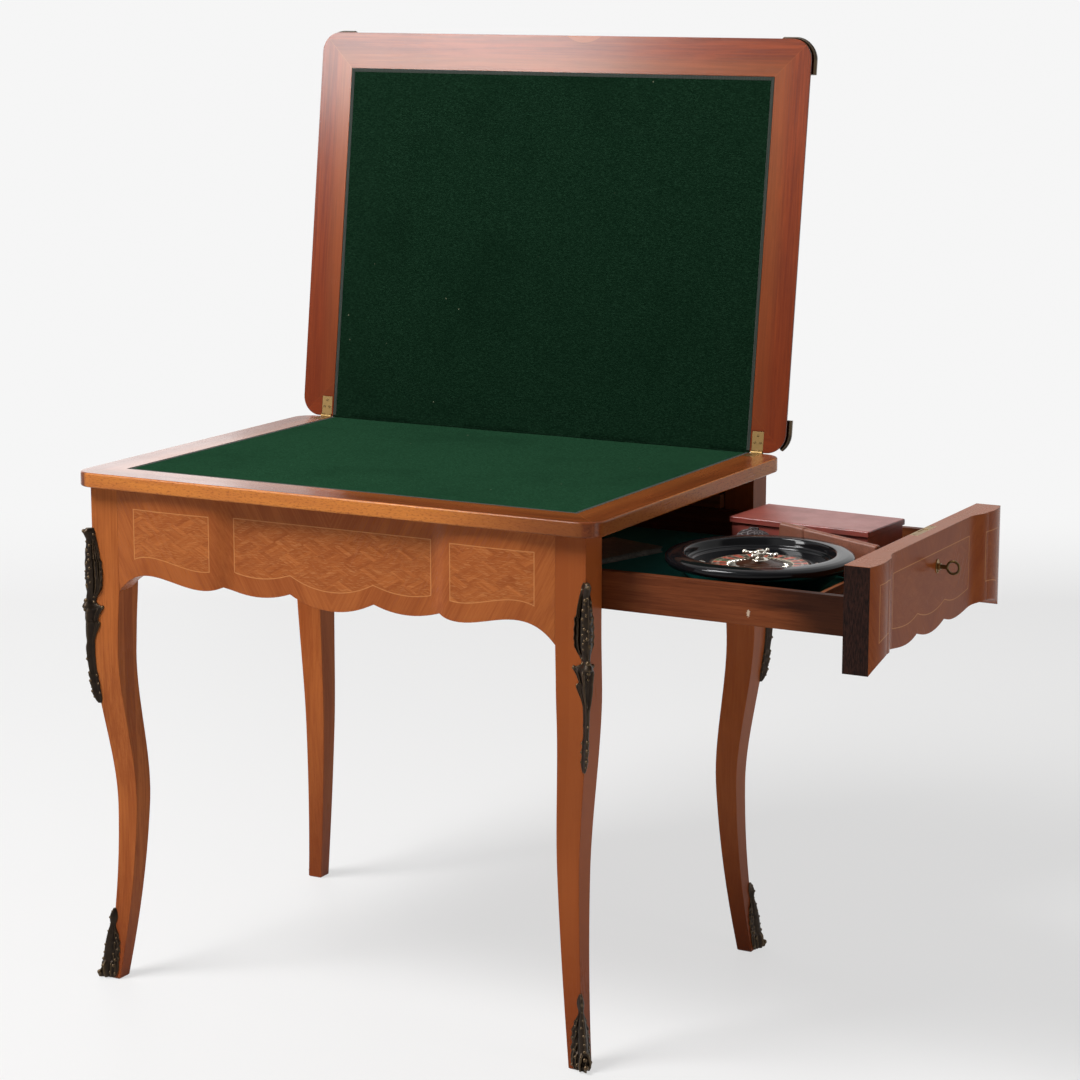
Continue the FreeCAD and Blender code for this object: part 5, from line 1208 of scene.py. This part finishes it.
def counter_shapes():
    """Counters: a flat disc with a rounded rim and a sunk middle, repeated in stacks."""
    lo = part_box("counters")[0]
    profile = np.array([
        (0, 0.2), (7.2, 0.2), (7.6, 0), (9.2, 0), (9.9, 0.7), (9.9, 2.5), (9.2, 3.2), (7.6, 3.2), (7.2, 2.9),
        (0, 2.9),
    ]) * MM
    disc = lathe(eased(profile, 0.0004, 4), 40)
    stack, level = np.array([(i, j) for i, count in enumerate((5, 4, 6, 3)) for j in range(count)]).T
    x = seat("counters")[0] + 0.0001 * np.sin(5 * level + stack)
    y = lo[1] + 0.010 + 0.022 * stack + 0.0002 * np.cos(3 * level + stack)
    return repeated(disc, np.stack([x, y, lo[2] + 0.0033 * level], axis=-1))


# Operators

class GAMESTABLE_OT_frame(bpy.types.Operator):
    """Veneer the legs and aprons and finish the plain wood of the frame"""

    bl_idname = "games_table.frame"
    bl_label = "Frame"

    def execute(self, context):
        wood = context.scene.games_table_wood
        # the front right leg's veneer is darker; the back right leg's value is painted shade of the table's shadow
        for corner, shade in (("front_left", 0.0), ("front_right", 0.88), ("back_left", 0.28), ("back_right", 0.60)):
            dress(leg_wood(wood, corner, shade), "leg_" + corner)
        top, gloss = FRAME_TOP - PANEL_MARGIN, (0.10, 0.05)
        front = apron_wood("front_veneer", wood, "front_apron", 0, top, *LONG_PANELS, gloss)
        dress(front, "front_apron", "back_apron")
        dress(apron_wood("left_veneer", wood, "left_apron", 1, top, *SHORT_PANELS, gloss), "left_apron")
        inner_dark = scaled(wood.inner, 0.5)
        lengthwise = plain_wood("inner_wood_long", wood.inner, inner_dark, ALONG_X, 0.55)
        dress(lengthwise, "drawer_runners", "drawer_kickers")
        crosswise = plain_wood("inner_wood_cross", wood.inner, inner_dark, ALONG_Y, 0.55)
        dress(crosswise, "lower_drawer_rail", "pivot_board", "cross_rail")
        dress(plain_wood("mouth_rail_veneer", wood.light, wood.dark, ALONG_Y, wood.roughness), "upper_drawer_rail")
        return {"FINISHED"}


class GAMESTABLE_OT_top(bpy.types.Operator):
    """Finish the turning slab, the leaf, their hinges and the pivot"""

    bl_idname = "games_table.top"
    bl_label = "Folding top"

    def execute(self, context):
        wood, metal = context.scene.games_table_wood, context.scene.games_table_metal
        slab = border_wood("slab_veneer", wood, wood.slab_light, wood.slab_dark, (0.10, 0.16), edge=wood.edge)
        dress(slab, "lower_top")
        leaf = border_wood("leaf_veneer", wood, wood.leaf_light, wood.leaf_dark, (0.06, 0.50), shut=shut_mapping())
        dress(leaf, "leaf")
        brass = metal_finish("hinge_brass", scaled(metal.brass, 0.42), metal.brass, 0.46, 0.85)
        dress(brass, "hinge_pins", *["hinge_%s_%s" % (part, side) for part in ("lower", "upper") for side in SIDES])
        iron = metal_finish("pivot_iron", metal.iron, scaled(metal.iron, 2.5), 0.45)
        dress(iron, "pivot_pin", "pivot_washer", "pivot_nut", "stop_peg")
        head = screw_head(0.0024)
        spots = []
        for side in SIDES:
            x = seat("hinge_lower_" + side)[0]
            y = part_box("hinge_lower_" + side)[0][1]
            for across, along in ((0.0, 0.0055), (-0.0045, 0.016), (0.0045, 0.016)):
                spots.append((x + across, y + along, TOP_HALF[2]))
        turns = np.arange(len(spots)) * 0.9
        make_piece("hinge_screws_lower", repeated(head, spots, turns), brass, "lower_top")
        make_piece("hinge_screws_upper", onto_leaf(repeated(head, spots, turns + 0.5)), brass, "leaf")
        return {"FINISHED"}


class GAMESTABLE_OT_baize(bpy.types.Operator):
    """Lay the two baize sheets in their recesses with a woven tape round three edges"""

    bl_idname = "games_table.baize"
    bl_label = "Baize"

    def execute(self, context):
        cloth = context.scene.games_table_cloth
        lo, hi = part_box("lower_baize")
        tape = woven_finish("baize_tape", cloth.tape, scaled(cloth.tape, 3.6), 2600.0)
        sheet = cloth_sheet(lo, hi, 96, 72, 0.00012)
        inset = cloth.tape_width / 2
        path = [
            (lo[0] + inset, hi[1] - 0.002), (lo[0] + inset, lo[1] + inset),
            (hi[0] - inset, lo[1] + inset), (hi[0] - inset, hi[1] - 0.002),
        ]
        edging = ribbon(path, cloth.tape_width, 0.0009, hi[2] - 0.0001)
        green = baize_finish(cloth, "baize_lower", 1.0)
        lower = make_piece("lower_baize_cloth", sheet, green, "lower_top", ["lower_baize"])
        lower_tape = make_piece("lower_baize_tape", edging, tape, "lower_top")
        # painted shade: the fold piping's cloth darkened as a shadowed crease
        green = baize_finish(cloth, "baize_fold", 0.25)
        fold = make_piece("baize_fold_piping", fold_piping(lo[0], hi[0]), green, "lower_top")
        # painted shade: the upright leaf's cloth darkened as less lit than the slab's
        green = baize_finish(cloth, "baize_leaf", 0.42)
        leaf = make_piece("leaf_baize_cloth", onto_leaf(sheet), green, "leaf", ["leaf_baize"])
        leaf_tape = make_piece("leaf_baize_tape", onto_leaf(edging), tape, "leaf")
        return {"FINISHED"}


class GAMESTABLE_OT_mounts(bpy.types.Operator):
    """Cast the bronze knee and foot mounts and finish the leaf's corner clasps"""

    bl_idname = "games_table.mounts"
    bl_label = "Bronze mounts"

    def execute(self, context):
        metal = context.scene.games_table_metal
        bronze = metal_finish("mount_bronze", metal.bronze, metal.bronze_worn, 0.36, 0.75, 0.7)
        reliefs = {"knee": knee_relief(), "foot": foot_relief()}
        for corner in CORNERS:
            for end, relief in reliefs.items():
                name, node = "%s_leaf_%s" % (end, corner), "%s_mount_%s" % (end, corner)
                make_piece(name, at_corner(relief, corner), bronze, "frame", [node], 60.0)
        dress(bronze, *["leaf_clasp_%s_%s" % (end, side) for end in ("hinge", "far") for side in SIDES])
        return {"FINISHED"}


class GAMESTABLE_OT_drawer(bpy.types.Operator):
    """Finish the drawer, its lining, lock and key"""

    bl_idname = "games_table.drawer"
    bl_label = "Drawer"

    def execute(self, context):
        scene = context.scene
        wood, cloth, metal = scene.games_table_wood, scene.games_table_cloth, scene.games_table_metal
        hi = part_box("drawer_front")[1]
        front = apron_wood(
            "drawer_veneer", wood, "drawer_front", 1, hi[2] - PANEL_MARGIN, *SHORT_PANELS, (0.03, 0.10), hi[1], 0.45
        )
        dress(front, "drawer_front")
        dress(drawer_side_wood(wood), "drawer_side_front", "drawer_side_back")
        crosswise = plain_wood("drawer_cross_wood", wood.inner, scaled(wood.inner, 0.45), ALONG_Y, 0.5)
        dress(crosswise, "drawer_back", "drawer_bottom", "drawer_divider")
        lo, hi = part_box("drawer_lining")
        felt = woven_finish("lining_felt", cloth.lining, scaled(cloth.lining, 1.5), 2600.0, 0.05)
        sheet = cloth_sheet(lo, hi, 72, 60, 0.0001)
        lining = make_piece("drawer_lining_cloth", sheet, felt, "drawer", ["drawer_lining"])
        dull, worn = scaled(metal.brass, 0.45), scaled(metal.brass, 1.6)
        lock = metal_finish("lock_brass", dull, worn, 0.40)
        dress(lock, "lock_case", "lock_bolt")
        dress(metal_finish("key_brass", dull, worn, 0.36), "key", "escutcheon")
        low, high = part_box("lock_case")
        spots = [(seat("lock_case")[0], y, high[2]) for y in (low[1] + 0.003, high[1] - 0.003)]
        make_piece("lock_screws", repeated(screw_head(0.0019), spots, [0.4, 1.3]), lock, "drawer")
        return {"FINISHED"}


class GAMESTABLE_OT_roulette(bpy.types.Operator):
    """Turn the roulette bowl, its wheel, frets and turret"""

    bl_idname = "games_table.roulette"
    bl_label = "Roulette"

    def execute(self, context):
        contents, metal = context.scene.games_table_contents, context.scene.games_table_metal
        middle = seat("roulette_bowl")
        spindle = Matrix.Translation(middle)
        lacquer = lacquer_finish("bowl_lacquer", contents.bowl, 0.05)
        bowl = moved(bowl_shape(), spindle)
        make_piece("bowl_lacquered", bowl, lacquer, "drawer", ["roulette_bowl"], 50.0)
        dark = plain_wood("rotor_wood", (0.055, 0.020, 0.010), (0.020, 0.008, 0.005), ALONG_X, 0.28, 0.0004)
        make_piece("wheel_rotor", moved(rotor_shape(), spindle), dark, "rotor", ["rotor"], 35.0)
        dress(ring_finish(contents, middle), "number_ring")
        nickel = metal_finish("turret_nickel", metal.nickel, metal.nickel, 0.22, 1.0, 0.35)
        make_piece("wheel_frets", moved(fret_shapes(contents.pockets), spindle), nickel, "rotor")
        make_piece("wheel_turret", moved(turret_shape(), spindle), nickel, "rotor", ["turret"])
        pale = metal_finish("deflector_nickel", metal.nickel, metal.nickel, 0.3, 0.9, 0.3, 0.0006)
        make_piece("bowl_deflectors", moved(deflector_shapes(), spindle), pale, "drawer", ["deflectors"])
        return {"FINISHED"}


class GAMESTABLE_OT_contents(bpy.types.Operator):
    """Put the box, case, pouch, pad and counters in the drawer"""

    bl_idname = "games_table.contents"
    bl_label = "Drawer contents"

    def execute(self, context):
        contents, cloth = context.scene.games_table_contents, context.scene.games_table_cloth
        dress(board_finish(contents), "game_box", "game_box_lid")
        leather = leather_finish("case_leather", contents.leather, 700.0)
        make_piece("case_leather_sleeve", case_shape(), leather, "drawer", ["leather_case"], 50.0)
        cotton = pouch_finish(cloth, seat("counter_pouch"))
        bag = pouch_shape()
        pouch = make_piece("counter_pouch_bag", bag, cotton, "drawer", ["counter_pouch"], 80.0)
        cover = leather_finish("pad_cover", contents.pad, 420.0)
        make_piece("score_pad_book", pad_shape(), cover, "drawer", ["score_pad"], 30.0)
        black = lacquer_finish("counter_black", contents.bowl, 0.16)
        make_piece("counter_discs", counter_shapes(), black, "drawer", ["counters"])
        return {"FINISHED"}


class GAMESTABLE_OT_stage(bpy.types.Operator):
    """Lay the pale floor, hang the lights and place the camera"""

    bl_idname = "games_table.stage"
    bl_label = "Stage"

    def execute(self, context):
        scene, stage = context.scene, context.scene.games_table_stage
        self.floor(stage)
        self.world(scene, stage)
        self.light("key_light", (-1.45, -2.0, 4.3), (0.0, 0.0, 0.70), 1.7, stage.key_power)
        self.light("fill_light", (3.5, -0.5, 0.70), (0.0, 0.0, 0.6), 0.9, stage.fill_power)
        card = self.light("gloss_card", (-2.55, -3.45, 2.62), (0.0, 0.37, 1.32), 1.25, CARD_POWER)
        card.visible_diffuse = False
        self.light("side_light", (-3.7, 2.6, 1.4), (0.0, 0.0, 0.8), 2.8, stage.side_power)
        camera = bpy.data.cameras.new("view")
        camera.lens = stage.lens
        camera.sensor_width = 36.0
        camera.clip_end = 200.0
        holder = linked("view", camera)
        holder.location = stage.camera_place
        holder.rotation_euler = stage.camera_turn
        scene.camera = holder
        scene.view_settings.view_transform = "Standard"
        return {"FINISHED"}

    def floor(self, stage):
        """Level disc, with rows of points on circles that grow by a constant factor."""
        radius = np.geomspace(0.5, 120.0, 40)[:, None]
        angle = round_turn(96)[None, :]
        shape = grid(polar(radius, angle, 0 * radius), wrap_columns=True, cap_start=True)
        f = Finish("studio_floor", Roughness=0.55, Specular_IOR_Level=0.2)
        place = f.place()
        scuffs = f.noise(place, 3.0, 6.0, 0.6)
        tone = f.mix(f.step(scuffs, 0.5, 0.8) * 0.06, stage.floor, (0.62, 0.61, 0.6))
        f.set(Base_Color=tone)
        x, y, _ = f.split(place)
        far = y * 0.88 - x * 0.47
        path = f.add("LightPath").outputs
        reflected = f.math("MAXIMUM", path["Is Glossy Ray"], path["Is Transmission Ray"])
        seen = f.math("MAXIMUM", path["Is Camera Ray"], reflected)
        bright = seen * f.math("MAXIMUM", f.step(far, 0.6, 3.6), 0.68)
        glow = f.out("Emission", stage.back, 1.0)
        f.feed(f.output.inputs[0], f.out("MixShader", bright, f.shader.outputs[0], glow))
        floor = linked("studio_floor", mesh_of("studio_floor", shape, f.material))

    def world(self, scene, stage):
        """Even grey light for the object; camera, gloss and glass see the bright background, gloss less of it in
        front, but for a band on the left."""
        scene.world = bpy.data.worlds.new("studio")
        scene.world.use_nodes = True
        w = Nodes(scene.world.node_tree)
        x, y, z = w.split(w.out("TexCoord", output="Generated"))
        front = w.range(y, 0.1, -0.1, 0.0, 1.0)
        low = w.range(z, 0.14, 0.23, 1.0, 0.0)
        over = w.range(z, 0.50, 0.72, 0.0, 0.9)
        right = w.range(x, 0.0, 0.22, 0.0, 1.0)
        dim = front * w.math("MAXIMUM", w.math("MAXIMUM", low, over), right)
        ambient = w.out("Background", (1.0, 1.0, 1.0), stage.ambient)
        back = w.out("Background", stage.back, 1.0)
        shine = w.out("Background", stage.back, w.range(dim, 0.0, 1.0, 1.0, 0.22))
        path = w.add("LightPath").outputs
        lit = w.out("MixShader", path["Is Glossy Ray"], ambient, shine)
        seen = w.math("MAXIMUM", path["Is Camera Ray"], path["Is Transmission Ray"])
        w.add("OutputWorld", w.out("MixShader", seen, lit, back))

    def light(self, name, place, target, size, power):
        lamp = bpy.data.lights.new(name, "AREA")
        lamp.size = size
        lamp.energy = power
        holder = linked(name, lamp)
        holder.location = place
        holder.visible_camera = False
        holder.rotation_euler = (Vector(target) - Vector(place)).to_track_quat("-Z", "Y").to_euler()
        return holder


OPERATORS = (
    GAMESTABLE_OT_frame, GAMESTABLE_OT_top, GAMESTABLE_OT_baize, GAMESTABLE_OT_mounts, GAMESTABLE_OT_drawer,
    GAMESTABLE_OT_roulette, GAMESTABLE_OT_contents, GAMESTABLE_OT_stage,
)


class GAMESTABLE_PT_build(bpy.types.Panel):
    """Lists the table's pieces"""

    bl_idname = "GAMESTABLE_PT_build"
    bl_label = "Games table"
    bl_space_type = "VIEW_3D"
    bl_region_type = "UI"
    bl_category = "Games table"

    def draw(self, context):
        for operator in OPERATORS:
            self.layout.operator(operator.bl_idname)
        for group in GROUPS:
            box = self.layout.box()
            settings = getattr(context.scene, group)
            for name in settings.bl_rna.properties.keys()[2:]:
                box.prop(settings, name)


GROUPS = {
    "games_table_wood": GamesTableWood,
    "games_table_cloth": GamesTableCloth,
    "games_table_metal": GamesTableMetal,
    "games_table_contents": GamesTableContents,
    "games_table_stage": GamesTableStage,
}


def register():
    for group in GROUPS.values():
        bpy.utils.register_class(group)
    for name, group in GROUPS.items():
        setattr(bpy.types.Scene, name, bpy.props.PointerProperty(type=group))
    for operator in OPERATORS:
        bpy.utils.register_class(operator)
    bpy.utils.register_class(GAMESTABLE_PT_build)


def unregister():
    bpy.utils.unregister_class(GAMESTABLE_PT_build)
    for operator in reversed(OPERATORS):
        bpy.utils.unregister_class(operator)
    for name, group in GROUPS.items():
        delattr(bpy.types.Scene, name)
        bpy.utils.unregister_class(group)


def main():
    register()
    bpy.ops.games_table.frame()
    bpy.ops.games_table.top()
    bpy.ops.games_table.baize()
    bpy.ops.games_table.mounts()
    bpy.ops.games_table.drawer()
    bpy.ops.games_table.roulette()
    bpy.ops.games_table.contents()
    bpy.ops.games_table.stage()


if __name__ == "__main__":
    main()
